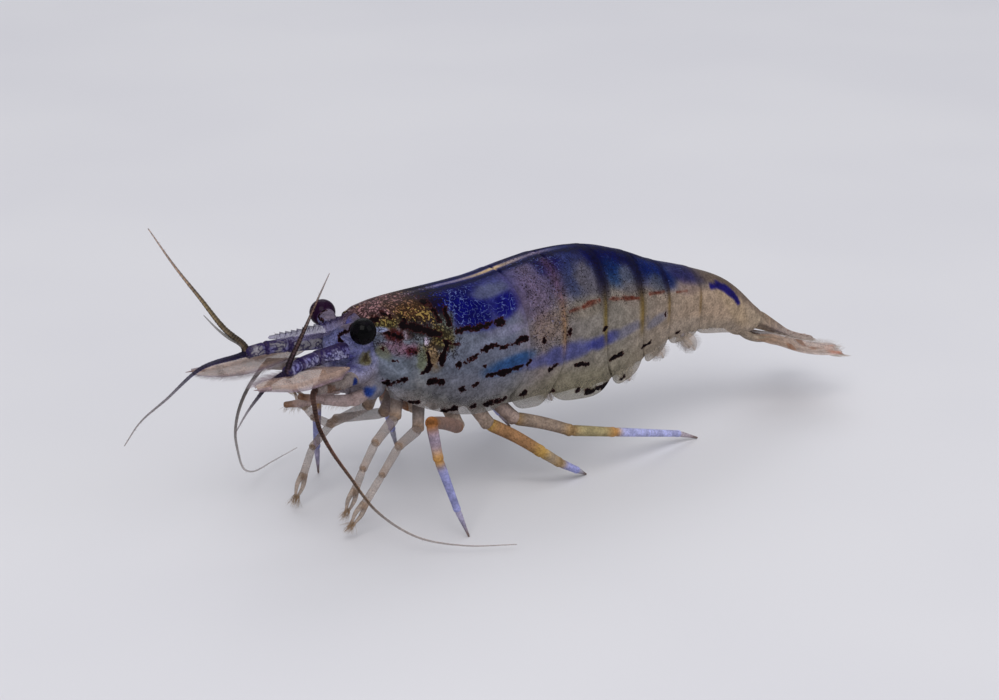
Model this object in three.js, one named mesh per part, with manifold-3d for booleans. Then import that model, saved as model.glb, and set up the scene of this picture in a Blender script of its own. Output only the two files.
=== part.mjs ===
// Amano shrimp (Caridina multidentata), adult female, standing and grazing: a life-size still model.
// Millimetres, +Z up. The head points to -X and the animal's left side faces -Y.
// The body is a row of ribs, each a plane that crosses it. Shell plates are lofts between two
// margins of that body, limbs are chains of tapered segments, and blades and feelers are sweeps.
import * as THREE from "three";
import Module from "manifold-3d";

const wasm = await Module();
wasm.setup();

// ---- driving dimensions -------------------------------------------------------------------
const GAP = 0.08; // clearance between neighbouring pieces
const SHELL = 0.55; // thickness of the pleura, the side flaps that hang below the belly
const FEELER_TIP = 0.25; // radius of every feeler at its tip
const BLADE = 0.27; // half thickness of scales, tail blades and swimmerets

const EYE = { radius: 0.76, forward: -10.9, out: 2.1, up: 11.78 };
const CARAPACE = 10; // length along the body, orbit to rear margin
const ROSTRUM = { tip: -15.7, root: -8.3, teeth: 14, tooth: 0.16, halfThickness: 0.26 };
const ROSTRUM_TOP = [[ROSTRUM.tip, 11.92], [-13.8, 11.85], [-11.0, 12.1], [ROSTRUM.root, 12.9]];
const ROSTRUM_BOTTOM = [[ROSTRUM.tip, 11.7], [-12.6, 11.15], [-10.6, 11.4], [-8.6, 12.0]];
const HEAD = {
  brow: { centre: [-10.6, 0, 10.5], radii: [1.55, 1.45, 1.25] },
  mouth: { centre: [-10.4, 0, 9.0], radii: [1.5, 1.75, 1.1] },
};
const EYESTALK = { from: [-11.2, 0.5, 11.4], to: [-10.98, 1.6, 11.66], radii: [0.36, 0.52] };

// Ribs of the trunk. s: distance along the flank from the orbit. back: [x, z] of the midline
// of the back. edge: [x, z] level of the shell's lower edge. half: half width.
// belly: height of the flesh between the pleura, as a share of the rib.
const RIBS = [
  { s: 0, back: [-10.2, 12.4], edge: [-9.8, 8.7], half: 1.7, belly: 0.14 },
  { s: 2, back: [-8.2, 12.62], edge: [-8.4, 7.2], half: 2.5, belly: 0.12 },
  { s: 5, back: [-5.2, 12.7], edge: [-5.4, 5.85], half: 3.0, belly: 0.1 },
  { s: 8, back: [-2.2, 12.8], edge: [-2.4, 5.2], half: 3.15, belly: 0.1 },
  { s: 10, back: [-0.2, 13.06], edge: [-0.2, 5.0], half: 3.1, belly: 0.22 },
  { s: 12.8, back: [2.7, 13.42], edge: [2.6, 4.8], half: 3.0, belly: 0.28 },
  { s: 16, back: [6.0, 13.3], edge: [5.9, 4.6], half: 2.8, belly: 0.29 },
  { s: 19, back: [9.0, 12.45], edge: [8.8, 5.25], half: 2.45, belly: 0.26 },
  { s: 21.4, back: [11.4, 11.4], edge: [11.1, 6.15], half: 2.1, belly: 0.24 },
  { s: 24.2, back: [14.2, 10.45], edge: [13.8, 6.4], half: 1.75, belly: 0.16 },
  { s: 27, back: [17.2, 9.1], edge: [16.5, 6.05], half: 1.45, belly: 0.08 },
  { s: 29.8, back: [19.85, 6.75], edge: [18.8, 5.3], half: 1.1, belly: 0.06 },
];
const WAIST = 0.6; // share of the flank's outline at which the body is widest
const WIDEST = 0.46; // height of that place, as a share of the rib
const TUCK = 0.2; // how far the lower flank pulls in, as a share of the half width
const TUCK_BEND = 1.7; // how late it does so, as a power
const FLANK_ROUND = 0.9; // power of the flank's arc: 1 is an ellipse, less is fuller

// The underside between the pleura: where the flesh's roof starts and how it rounds into them.
const BELLY = { foot: 0.1, cove: 0.3, lean: 0.9, flat: 0.5, narrowest: 0.3 };

// Margins between plates, as distances along the body: at the back, at the hinge and at the edge.
const ORBIT = [0, 0.1, 0.9];
const CARAPACE_REAR = [CARAPACE - 0.35, CARAPACE + 0.15, CARAPACE - 1.9];
const FIRST_SOMITE = CARAPACE - 0.9; // the first somite starts no nearer the head than this
const CARAPACE_LIFT = 0.25; // how far a plate's lower corners rise, as for the somites below
const SOMITES = [
  { name: "abdomen_1", rear: [12.7, 12.8, 12.0], lift: 0.9 },
  { name: "abdomen_2", rear: [16.1, 15.9, 16.7], lift: 0.8 },
  { name: "abdomen_3", rear: [19.1, 19.0, 19.5], lift: 0.9 },
  { name: "abdomen_4", rear: [21.4, 21.4, 21.7], lift: 0.7 },
  { name: "abdomen_5", rear: [24.2, 24.2, 24.4], lift: 0.5 },
  { name: "abdomen_6", rear: [29.8, 29.7, 29.2], lift: 0.2 },
];

// Legs, joint by joint from the hip to the tip, each joint [forward, out, up] on its own side.
const CLAW_LEGS = {
  claw_leg_1: {
    left: [[-7.9, 1.0, 7.4], [-8.3, 1.3, 5.9], [-10.2, 2.1, 5.0], [-11.2, 2.3, 3.7], [-11.7, 2.1, 2.3]],
    right: [
      [-7.9, 1.0, 7.4], [-8.4, 1.4, 5.8], [-10.5, 2.2, 4.9],
      [-11.5, 2.4, 5.5], [-12.1, 2.3, 6.4],
    ],
  },
  claw_leg_2: {
    left: [[-6.6, 1.2, 6.8], [-7.0, 1.7, 5.0], [-9.4, 3.3, 5.0], [-10.7, 3.5, 3.6], [-11.9, 3.3, 1.9]],
    right: [[-6.6, 1.2, 6.8], [-7.1, 1.7, 5.0], [-9.5, 3.2, 4.7], [-11.1, 3.2, 3.3], [-12.0, 2.9, 1.7]],
  },
};
const WALKING_LEGS = {
  leg_3: {
    left: [
      [-5.0, 1.5, 6.4], [-4.5, 2.1, 4.7], [-9.0, 5.95, 7.1],
      [-8.85, 6.4, 5.05], [-7.7, 6.55, 1.8], [-7.0, 6.69, 0],
    ],
    right: [
      [-5.0, 1.5, 6.4], [-4.7, 2.1, 4.7], [-8.4, 5.6, 6.9],
      [-8.9, 6.1, 4.8], [-8.8, 6.4, 1.8], [-8.6, 6.6, 0],
    ],
  },
  leg_4: {
    left: [
      [-3.4, 1.5, 6.2], [-2.3, 2.0, 4.4], [0.6, 3.3, 2.4],
      [1.8, 3.5, 1.5], [3.3, 3.3, 0.6], [4.2, 3.0, 0],
    ],
    right: [
      [-3.4, 1.5, 6.2], [-3.3, 2.1, 4.6], [-4.6, 5.6, 6.2],
      [-4.2, 6.2, 4.2], [-3.2, 6.7, 1.6], [-2.7, 6.9, 0],
    ],
  },
  leg_5: {
    left: [
      [-1.9, 1.4, 6.0], [-0.4, 2.0, 4.3], [3.0, 3.0, 3.1],
      [6.3, 2.95, 2.25], [12.0, 2.2, 0.65], [13.5, 2.2, 0],
    ],
    right: [
      [-1.9, 1.4, 6.0], [-1.5, 2.15, 4.35], [0.8, 5.0, 5.3],
      [2.2, 5.6, 3.7], [4.4, 6.1, 1.2], [5.3, 6.2, 0],
    ],
  },
};
const WALKER = [0.55, 0.5, 0.42, 0.35, 0.29, 0.25]; // radius at each joint
const CLAW_ARM = [0.5, 0.45, 0.38, 0.34, 0.34];
const CLAW = { finger: 1.1, spread: 0.24, radius: 0.25, rootSpread: 0.7, tipSpread: 1.5, swelling: 1.1 };
const JAW_LEG = {
  left: [[-9.2, 0.75, 8.2], [-10.8, 1.1, 7.5], [-12.9, 1.15, 7.9], [-14.5, 1.05, 8.4]],
  right: [[-9.2, 0.75, 8.2], [-10.8, 1.1, 7.5], [-12.6, 1.3, 7.0], [-14.0, 1.3, 7.1]],
};
const JAW_RADII = [0.42, 0.4, 0.34, 0.27];

// Stems, scales and feelers of the head, as the legs are given.
const ANTENNULE_STEM = [
  [-11.2, 0.95, 10.5], [-13.2, 1.35, 10.55], [-14.8, 1.75, 10.55], [-15.9, 2.1, 10.38],
];
const ANTENNULE_RADII = [0.56, 0.5, 0.46, 0.4];
const ANTENNA_STEM = [[-11.0, 1.55, 9.0], [-12.8, 2.15, 9.05], [-14.3, 2.6, 9.25]];
const ANTENNA_RADII = [0.42, 0.38, 0.33];
const SCALES = {
  left: [[-11.9, 2.2, 9.9], [-13.6, 2.45, 10.0], [-16.0, 2.95, 10.05], [-18.6, 3.3, 10.45]],
  right: [[-11.9, 2.2, 9.8], [-13.8, 2.5, 9.65], [-16.2, 2.9, 9.4], [-18.8, 3.2, 9.4]],
};
const SCALE_HALF = 1.05;
const SCALE_LEAN = [0.1, 1, 0.35]; // the direction across a scale
const FEELERS = {
  left: {
    outer: [
      [-15.82, 2.2, 10.9], [-15.4, 2.6, 12.2], [-15.1, 3.4, 13.9],
      [-14.92, 4.1, 15.25], [-14.8, 4.9, 16.6],
    ],
    inner: [
      [-16.45, 2.15, 10.28], [-17.26, 2.3, 10.0], [-18.0, 2.4, 9.45],
      [-18.75, 2.5, 8.8], [-19.6, 2.6, 7.8],
    ],
    antenna: [
      [-14.62, 2.68, 9.0], [-14.72, 3.0, 8.2], [-14.6, 3.2, 7.2],
      [-14.06, 3.6, 5.8], [-13.42, 4.2, 4.5],
    ],
    trail: [
      [-13.33, 4.3, 4.32], [-12.3, 5.3, 2.4], [-10.7, 6.9, 1.0],
      [-8.6, 8.5, 0.5], [-6.0, 9.9, 0.4],
    ],
  },
  right: {
    outer: [
      [-16.1, 2.2, 10.85], [-17.1, 2.45, 11.9], [-18.35, 2.9, 13.84],
      [-19.6, 3.4, 15.8], [-20.8, 4.0, 18.0],
    ],
    inner: [
      [-16.45, 2.2, 10.25], [-18.7, 2.4, 9.95], [-20.9, 2.6, 8.5],
      [-22.4, 2.9, 7.4], [-23.4, 3.0, 6.2],
    ],
    antenna: [
      [-14.62, 2.75, 9.0], [-15.2, 3.4, 7.7], [-15.5, 4.0, 6.2],
      [-15.4, 4.6, 4.6], [-14.9, 5.2, 3.2],
    ],
    trail: [
      [-14.83, 5.28, 3.03], [-14.0, 6.2, 1.7], [-12.5, 7.5, 0.75],
      [-10.4, 8.9, 0.45], [-7.9, 10.1, 0.4],
    ],
  },
};
const FEELER_ROOTS = { outer: 0.34, inner: 0.3, antenna: 0.28 }; // radii

// Swimmerets [forward, up] of each root, and the tail fan.
const SWIMMERETS = [[1.5, 7.4], [4.4, 7.3], [7.4, 7.4], [10.0, 7.8], [12.5, 7.8]];
const SWIMMERET = { out: 1.2, back: 1.2, drop: 2.7, half: 0.75, lean: [1, 0.15, 0] };
const TELSON = [[19.5, 0, 6.15], [21.2, 0, 5.25], [22.8, 0, 4.4], [24.8, 0, 3.7]];
const TELSON_SIZE = { half: [0.82, 0.3], thick: [0.5, BLADE] };
const UROPOD = {
  stem: [[18.7, 0.7, 5.1], [20.1, 1.0, 4.85]],
  outer: [[20.0, 1.1, 4.95], [21.8, 1.75, 4.2], [23.6, 2.2, 3.65], [25.3, 2.35, 3.25]],
  inner: [[20.0, 0.8, 4.85], [21.8, 1.1, 4.1], [23.6, 1.3, 3.6], [25.6, 1.4, 3.4]],
  half: { outer: 0.95, inner: 0.75 },
  lean: { outer: -0.35, inner: -0.2 }, // how far each blade's outer edge drops
  radius: 0.42,
};

const SIDES = { left: -1, right: 1 };

// How finely the solids are cut: sides round a section and steps along it.
const FINENESS = {
  flank: 10, carapace: 8, somite: 4, head: 10, eye: 14,
  stem: 8, limb: 6, feelerSteps: 9, feelerSides: 5, leafSteps: 6, telsonSteps: 5, finger: 5,
};

// ---- shared geometry ----------------------------------------------------------------------
// Smooth curve through stations {s, value}: a cubic between neighbours, tangents from the pair.
function profile(stations) {
  const slope = (i) => {
    const a = stations[Math.max(i - 1, 0)];
    const b = stations[Math.min(i + 1, stations.length - 1)];
    return (b.value - a.value) / (b.s - a.s);
  };
  return (s) => {
    let i = stations.findIndex((station) => station.s > s) - 1;
    if (i < 0) i = s <= stations[0].s ? 0 : stations.length - 2;
    const [a, b] = [stations[i], stations[i + 1]];
    const span = b.s - a.s;
    const t = (s - a.s) / span;
    const [t2, t3] = [t * t, t * t * t];
    return (
      a.value * (2 * t3 - 3 * t2 + 1) +
      slope(i) * span * (t3 - 2 * t2 + t) +
      b.value * (3 * t2 - 2 * t3) +
      slope(i + 1) * span * (t3 - t2)
    );
  };
}

// Margin of a plate: a half cosine from the back to the hinge, then a parabola to the edge.
function margin([back, hinge, edge]) {
  const ease = (t) => (1 - Math.cos(Math.PI * t)) / 2;
  return (u) => {
    if (u < WAIST) return back + (hinge - back) * ease(u / WAIST);
    return hinge + (edge - hinge) * ((u - WAIST) / (1 - WAIST)) ** 2;
  };
}

function closed(positions, triangles) {
  const vertProperties = new Float32Array(positions);
  const triVerts = new Uint32Array(triangles);
  return new wasm.Manifold(new wasm.Mesh({ numProp: 3, vertProperties, triVerts }));
}

// Joins rings of points, each a list of Vector3 of one length, into a closed solid. The ends
// are flat fans, or the triangles that endCap(ring) gives.
function skin(rings, endCap) {
  const count = rings[0].length;
  const positions = rings.flat().flatMap((p) => [p.x, p.y, p.z]);
  const triangles = [];
  for (let r = 0; r + 1 < rings.length; r++) {
    for (let k = 0; k < count; k++) {
      const [a, b] = [r * count + k, r * count + ((k + 1) % count)];
      triangles.push(a, b, b + count, a, b + count, a + count);
    }
  }
  const fan = (ring) => Array.from({ length: count - 2 }, (_, k) => [0, k + 1, k + 2]);
  const last = (rings.length - 1) * count;
  for (const [a, b, c] of (endCap ?? fan)(rings[0])) triangles.push(a, c, b);
  for (const corners of (endCap ?? fan)(rings.at(-1))) triangles.push(...corners.map((k) => last + k));
  const solid = closed(positions, triangles);
  return solid.volume() > 0 ? solid : closed(positions, triangles.reverse());
}

// Sweeps an ellipse along a smooth path. size(t) is [half width, half thickness], and side is
// the direction of the width.
function sweep(path, size, { steps, sides, side = new THREE.Vector3(0, 1, 0) }) {
  const curve = new THREE.CatmullRomCurve3(path.map((p) => new THREE.Vector3(...p)));
  const rings = [];
  for (let i = 0; i <= steps; i++) {
    const centre = curve.getPointAt(i / steps);
    const along = curve.getTangentAt(i / steps);
    const across = side.clone().addScaledVector(along, -side.dot(along)).normalize();
    const normal = new THREE.Vector3().crossVectors(along, across);
    const [width, thickness] = size(i / steps);
    rings.push(
      Array.from({ length: sides }, (_, k) => {
        const angle = (2 * Math.PI * (k + 0.5)) / sides;
        return centre
          .clone()
          .addScaledVector(across, width * Math.cos(angle))
          .addScaledVector(normal, thickness * Math.sin(angle));
      }),
    );
  }
  return skin(rings);
}

// A straight tapered rod with pointed-round ends, from one joint to the next.
const ROD_END = 0.6; // how far an end stands out, as a share of its radius
function rod(from, to, radiusFrom, radiusTo, sides) {
  const [a, b] = [new THREE.Vector3(...from), new THREE.Vector3(...to)];
  const length = a.distanceTo(b);
  const outline = [
    [0, -radiusFrom * ROD_END],
    [radiusFrom, 0],
    [radiusTo, length],
    [0, length + radiusTo * ROD_END],
  ].map(([r, y]) => new THREE.Vector2(r, y));
  const shape = new THREE.LatheGeometry(outline, sides);
  const up = new THREE.Vector3(0, 1, 0);
  const turn = new THREE.Quaternion().setFromUnitVectors(up, b.sub(a).normalize());
  shape.applyQuaternion(turn).translate(a.x, a.y, a.z);
  return fromGeometry(shape);
}

// An ellipsoid, grown outward, with detail points round its middle and fewer from pole to pole.
const POLE_SHARE = 0.75;
function ball(centre, radii, grow, detail) {
  const shape = new THREE.SphereGeometry(1, detail, Math.round(detail * POLE_SHARE));
  shape.scale(...radii.map((radius) => radius + grow)).translate(...centre);
  return fromGeometry(shape);
}

// Welds a three.js geometry's vertices by position and makes it a solid.
const WELD_DIGITS = 5; // decimal places at which two positions are one
function fromGeometry(geometry) {
  const place = geometry.getAttribute("position");
  const seen = new Map();
  const positions = [];
  const index = [];
  for (let i = 0; i < place.count; i++) {
    const point = [place.getX(i), place.getY(i), place.getZ(i)];
    const key = point.map((x) => x.toFixed(WELD_DIGITS)).join();
    if (!seen.has(key)) {
      seen.set(key, positions.length / 3);
      positions.push(...point);
    }
    index.push(seen.get(key));
  }
  const triangles = [];
  for (let i = 0; i < geometry.index.count; i += 3) {
    const [a, b, c] = [0, 1, 2].map((k) => index[geometry.index.getX(i + k)]);
    if (a !== b && b !== c && c !== a) triangles.push(a, b, c);
  }
  const solid = closed(positions, triangles);
  return solid.volume() > 0 ? solid : closed(positions, triangles.reverse());
}

// ---- the trunk ----------------------------------------------------------------------------
const along = (key, k) =>
  profile(RIBS.map((rib) => ({ s: rib.s, value: k === undefined ? rib[key] : rib[key][k] })));
const TRUNK = {
  backX: along("back", 0),
  backZ: along("back", 1),
  edgeX: along("edge", 0),
  edgeZ: along("edge", 1),
  half: along("half"),
  belly: along("belly"),
};

// A point given as [forward, out, up], placed on one side.
const onSide = (point, side) => [point[0], point[1] * side, point[2]];

// A point of the trunk: s along it, y across it, f up it as a share of the rib, grown outward.
function trunkPoint(s, y, f, grow = 0) {
  const height = TRUNK.backZ(s) - TRUNK.edgeZ(s);
  const share = f + ((f - WIDEST) * 2 * grow) / height;
  return new THREE.Vector3(
    THREE.MathUtils.lerp(TRUNK.edgeX(s), TRUNK.backX(s), share),
    y + Math.sign(y) * grow,
    THREE.MathUtils.lerp(TRUNK.edgeZ(s), TRUNK.backZ(s), share),
  );
}

// The flank's outline at u: 0 on the back, WAIST at the widest place, 1 at the lower edge.
function flank(s, u) {
  const half = TRUNK.half(s);
  if (u <= WAIST) {
    const angle = ((u / WAIST) * Math.PI) / 2;
    const rise = Math.max(Math.cos(angle), 0) ** FLANK_ROUND;
    return { y: half * Math.sin(angle) ** FLANK_ROUND, f: WIDEST + (1 - WIDEST) * rise };
  }
  const v = (u - WAIST) / (1 - WAIST);
  return { y: half * (1 - TUCK * v ** TUCK_BEND), f: WIDEST * (1 - v) };
}

// One ring of the trunk between two margins, at share t of the way. lift raises the lower
// edge towards both ends of a plate, which rounds its corners.
function trunkRing(front, rear, t, lift, grow) {
  const half = [];
  const at = (u) => THREE.MathUtils.lerp(front(u), rear(u), t);
  const corner = lift * Math.abs(2 * t - 1) ** 4;
  for (let k = 0; k <= FINENESS.flank; k++) {
    const u = k / FINENESS.flank;
    const s = at(u);
    const { y, f } = flank(s, u);
    const height = TRUNK.backZ(s) - TRUNK.edgeZ(s);
    const raised = f + (corner / height) * Math.max(0, 1 - f / WIDEST) ** 2;
    half.push(trunkPoint(s, y, raised, grow));
  }
  const edge = half.at(-1);
  const s = at(WAIST);
  const roof = trunkPoint(s, 0, TRUNK.belly(s)).z;
  const inner = Math.max(edge.y - SHELL - grow, BELLY.narrowest);
  const foot = edge.z + BELLY.foot;
  half.push(new THREE.Vector3(edge.x, inner, Math.min(foot, roof)));
  half.push(new THREE.Vector3(edge.x, inner * BELLY.lean, Math.max(roof - BELLY.cove - grow, foot)));
  half.push(new THREE.Vector3(edge.x, inner * BELLY.flat, roof - grow));
  const mirrored = half.slice(1).reverse().map((p) => new THREE.Vector3(p.x, -p.y, p.z));
  return [...half, ...mirrored];
}

// Triangles for the end of a trunk solid, whose outline isn't convex, all turning as the ring does.
// They come from one typical ring, so that the facing ends of two plates are cut up alike.
const TYPICAL = () => 16; // a station in the middle of the abdomen
const typicalRing = trunkRing(TYPICAL, TYPICAL, 0.5, 0, 0).map((p) => new THREE.Vector2(p.y, p.z));
const CAP = THREE.ShapeUtils.triangulateShape(typicalRing, []);
CAP.forEach((corners) => corners.sort((a, b) => a - b));

// A closed plate of the trunk between two margins.
function plate(front, rear, { lift, steps, grow }) {
  const shares = Array.from({ length: steps + 1 }, (_, i) => i / steps);
  return skin(shares.map((t) => trunkRing(front, rear, t, lift, grow)), () => CAP);
}

const behind = (curve, gap) => (u) => curve(u) + gap;
// The first somite's front margin stays near the carapace but doesn't reach its cut-away corner.
const somiteFront = (u) => Math.max(margin(CARAPACE_REAR)(u), FIRST_SOMITE) + GAP;

function carapace(grow = 0) {
  const [front, rear] = [behind(margin(ORBIT), -grow), behind(margin(CARAPACE_REAR), grow)];
  return plate(front, rear, { lift: CARAPACE_LIFT, steps: FINENESS.carapace, grow });
}

function somite(i, grow = 0) {
  const { rear, lift } = SOMITES[i];
  const front = i === 0 ? somiteFront : behind(margin(SOMITES[i - 1].rear), GAP);
  const [first, last] = [behind(front, -grow), behind(margin(rear), grow)];
  return plate(first, last, { lift, steps: FINENESS.somite, grow });
}

// ---- head ---------------------------------------------------------------------------------
// The toothed blade between the eyes, which lies almost level and turns up a little at the tip.
function rostrum() {
  const top = profile(ROSTRUM_TOP.map(([x, z]) => ({ s: x, value: z })));
  const bareTip = 0.5;
  const hook = 0.75; // where a tooth's point lies, as a share of the pitch
  const pitch = (ROSTRUM.root - ROSTRUM.tip - bareTip) / ROSTRUM.teeth;
  const outline = [];
  for (let k = 0; k < ROSTRUM.teeth; k++) {
    const x = ROSTRUM.root - k * pitch;
    const point = x - pitch * hook;
    outline.push([x, top(x)], [point, top(point) + ROSTRUM.tooth]);
  }
  outline.push(ROSTRUM_TOP[0], ...ROSTRUM_BOTTOM);
  const shape = new THREE.Shape(outline.map(([x, z]) => new THREE.Vector2(x, z)));
  const depth = 2 * ROSTRUM.halfThickness;
  const blade = new THREE.ExtrudeGeometry(shape, { depth, bevelEnabled: false });
  blade.rotateX(Math.PI / 2).translate(0, ROSTRUM.halfThickness, 0);
  blade.setIndex(Array.from({ length: blade.getAttribute("position").count }, (_, i) => i));
  return fromGeometry(blade);
}

function headCore(grow = 0) {
  const part = ({ centre, radii }) => ball(centre, radii, grow, FINENESS.head);
  return part(HEAD.brow).add(part(HEAD.mouth));
}

function eyeBall(side, grow = 0) {
  return ball([EYE.forward, side * EYE.out, EYE.up], Array(3).fill(EYE.radius), grow, FINENESS.eye);
}

function eyestalk(side) {
  return rod(onSide(EYESTALK.from, side), onSide(EYESTALK.to, side), ...EYESTALK.radii, FINENESS.stem);
}

// ---- limbs --------------------------------------------------------------------------------
const BLUNT = 0.55; // radius of a limb's flat ends, as a share of the limb's

// A limb that bends gently: one ring at each joint, square to the bend, and blunt ends.
function limb(joints, radii, side, { sides = FINENESS.limb, grow = 0 } = {}) {
  const points = joints.map((joint) => new THREE.Vector3(...onSide(joint, side)));
  const way = points.slice(1).map((p, i) => p.clone().sub(points[i]).normalize());
  const stops = points.map((p, i) => {
    const [before, after] = [way[Math.max(i - 1, 0)], way[Math.min(i, way.length - 1)]];
    const normal = before.clone().add(after).normalize();
    return { centre: p, normal, radius: radii[i] + grow };
  });
  const blunt = ({ centre, normal, radius }, sign) => ({
    centre: centre.clone().addScaledVector(normal, sign * radius * ROD_END),
    normal,
    radius: radius * BLUNT,
  });
  const across = new THREE.Vector3(0, 1, 0);
  const all = [blunt(stops[0], -1), ...stops, blunt(stops.at(-1), 1)];
  const rings = all.map(({ centre, normal, radius }) => {
    across.addScaledVector(normal, -across.dot(normal)).normalize();
    const other = new THREE.Vector3().crossVectors(normal, across);
    return Array.from({ length: sides }, (_, k) => {
      const angle = (2 * Math.PI * k) / sides;
      const corner = centre.clone().addScaledVector(across, radius * Math.cos(angle));
      return corner.addScaledVector(other, radius * Math.sin(angle));
    });
  });
  return skin(rings);
}

// Two fingers at the end of a claw leg.
function fingers(joints, side) {
  const [wrist, tip] = joints.slice(-2).map((p) => new THREE.Vector3(...onSide(p, side)));
  const ahead = tip.clone().sub(wrist).normalize();
  const apart = new THREE.Vector3(0, 1, 0).cross(ahead).normalize().multiplyScalar(CLAW.spread);
  return [1, -1]
    .map((way) => {
      const root = tip.clone().addScaledVector(apart, way * CLAW.rootSpread);
      const end = tip.clone().addScaledVector(ahead, CLAW.finger);
      end.addScaledVector(apart, way * CLAW.tipSpread);
      const radii = [CLAW.radius * CLAW.swelling, CLAW.radius];
      return rod(root.toArray(), end.toArray(), ...radii, FINENESS.finger);
    })
    .reduce((a, b) => a.add(b));
}

// A round feeler that thins to FEELER_TIP.
function feeler(path, side, rootRadius) {
  const size = (t) => Array(2).fill(THREE.MathUtils.lerp(rootRadius, FEELER_TIP, t));
  const { feelerSteps: steps, feelerSides: sides } = FINENESS;
  return sweep(path.map((p) => onSide(p, side)), size, { steps, sides });
}

// A leaf-shaped blade: narrow at the stem, widest past the middle, with a blunt tip.
const LEAF = { end: 0.3, root: 0.55, belly: 0.45 }; // widths, as shares of the widest
function leaf(path, halfWidth, side, across, steps = FINENESS.leafSteps) {
  const round = (t) => Math.max(Math.sqrt(1 - (2 * t - 1) ** 4), LEAF.end);
  const outline = (t) => round(t) * (LEAF.root + LEAF.belly * Math.sin(Math.PI * t));
  return sweep(path.map((p) => onSide(p, side)), (t) => [halfWidth * outline(t), BLADE], {
    steps,
    sides: FINENESS.limb,
    side: new THREE.Vector3(across[0], across[1] * side, across[2]),
  });
}

// What is left of a solid after its neighbours, without any loose slivers.
function cut(solid, ...neighbours) {
  const rest = neighbours.reduce((a, b) => a.subtract(b), solid);
  return rest.decompose().sort((a, b) => b.volume() - a.volume())[0];
}

// ---- assembly -----------------------------------------------------------------------------
const FINISH = {
  shell: new THREE.MeshStandardMaterial({ color: 0x8b867c, roughness: 0.35, metalness: 0 }),
  clear: new THREE.MeshStandardMaterial({ color: 0xc9bda8, roughness: 0.3, metalness: 0 }),
  limb: new THREE.MeshStandardMaterial({ color: 0xa79c93, roughness: 0.35, metalness: 0 }),
  feeler: new THREE.MeshStandardMaterial({ color: 0x6b5540, roughness: 0.4, metalness: 0 }),
  eye: new THREE.MeshStandardMaterial({ color: 0x0c0a0c, roughness: 0.15, metalness: 0 }),
};
const shrimp = new THREE.Group();

function place(name, solid, finish) {
  const { numProp, vertProperties, triVerts } = solid.getMesh();
  const points = new Float32Array((vertProperties.length / numProp) * 3);
  for (let i = 0; i < points.length / 3; i++) {
    points.set(vertProperties.subarray(i * numProp, i * numProp + 3), i * 3);
  }
  const geometry = new THREE.BufferGeometry();
  geometry.setAttribute("position", new THREE.BufferAttribute(points, 3));
  geometry.setIndex(new THREE.BufferAttribute(triVerts, 1));
  geometry.computeVertexNormals();
  const mesh = new THREE.Mesh(geometry, FINISH[finish]);
  mesh.name = name;
  shrimp.add(mesh);
}

// Shell plates, and the same plates grown by the gap, which cut what lies against them.
const carapaceClear = carapace(GAP);
const abdomenClear = SOMITES.map((_, i) => somite(i, GAP));
place("carapace", carapace(), "shell");
SOMITES.forEach(({ name }, i) => place(name, somite(i), "shell"));

// Head: the core in front of the carapace, the toothed rostrum and the eyes on their stalks.
const headClear = headCore(GAP);
const blade = rostrum();
const bladeClear = [[0, GAP, 0], [0, -GAP, 0], [0, 0, -GAP]]
  .map((shift) => blade.translate(shift))
  .reduce((a, b) => a.add(b));
place("rostrum", cut(blade, carapaceClear), "clear");
place("head", cut(headCore(), carapaceClear, bladeClear), "shell");

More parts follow.
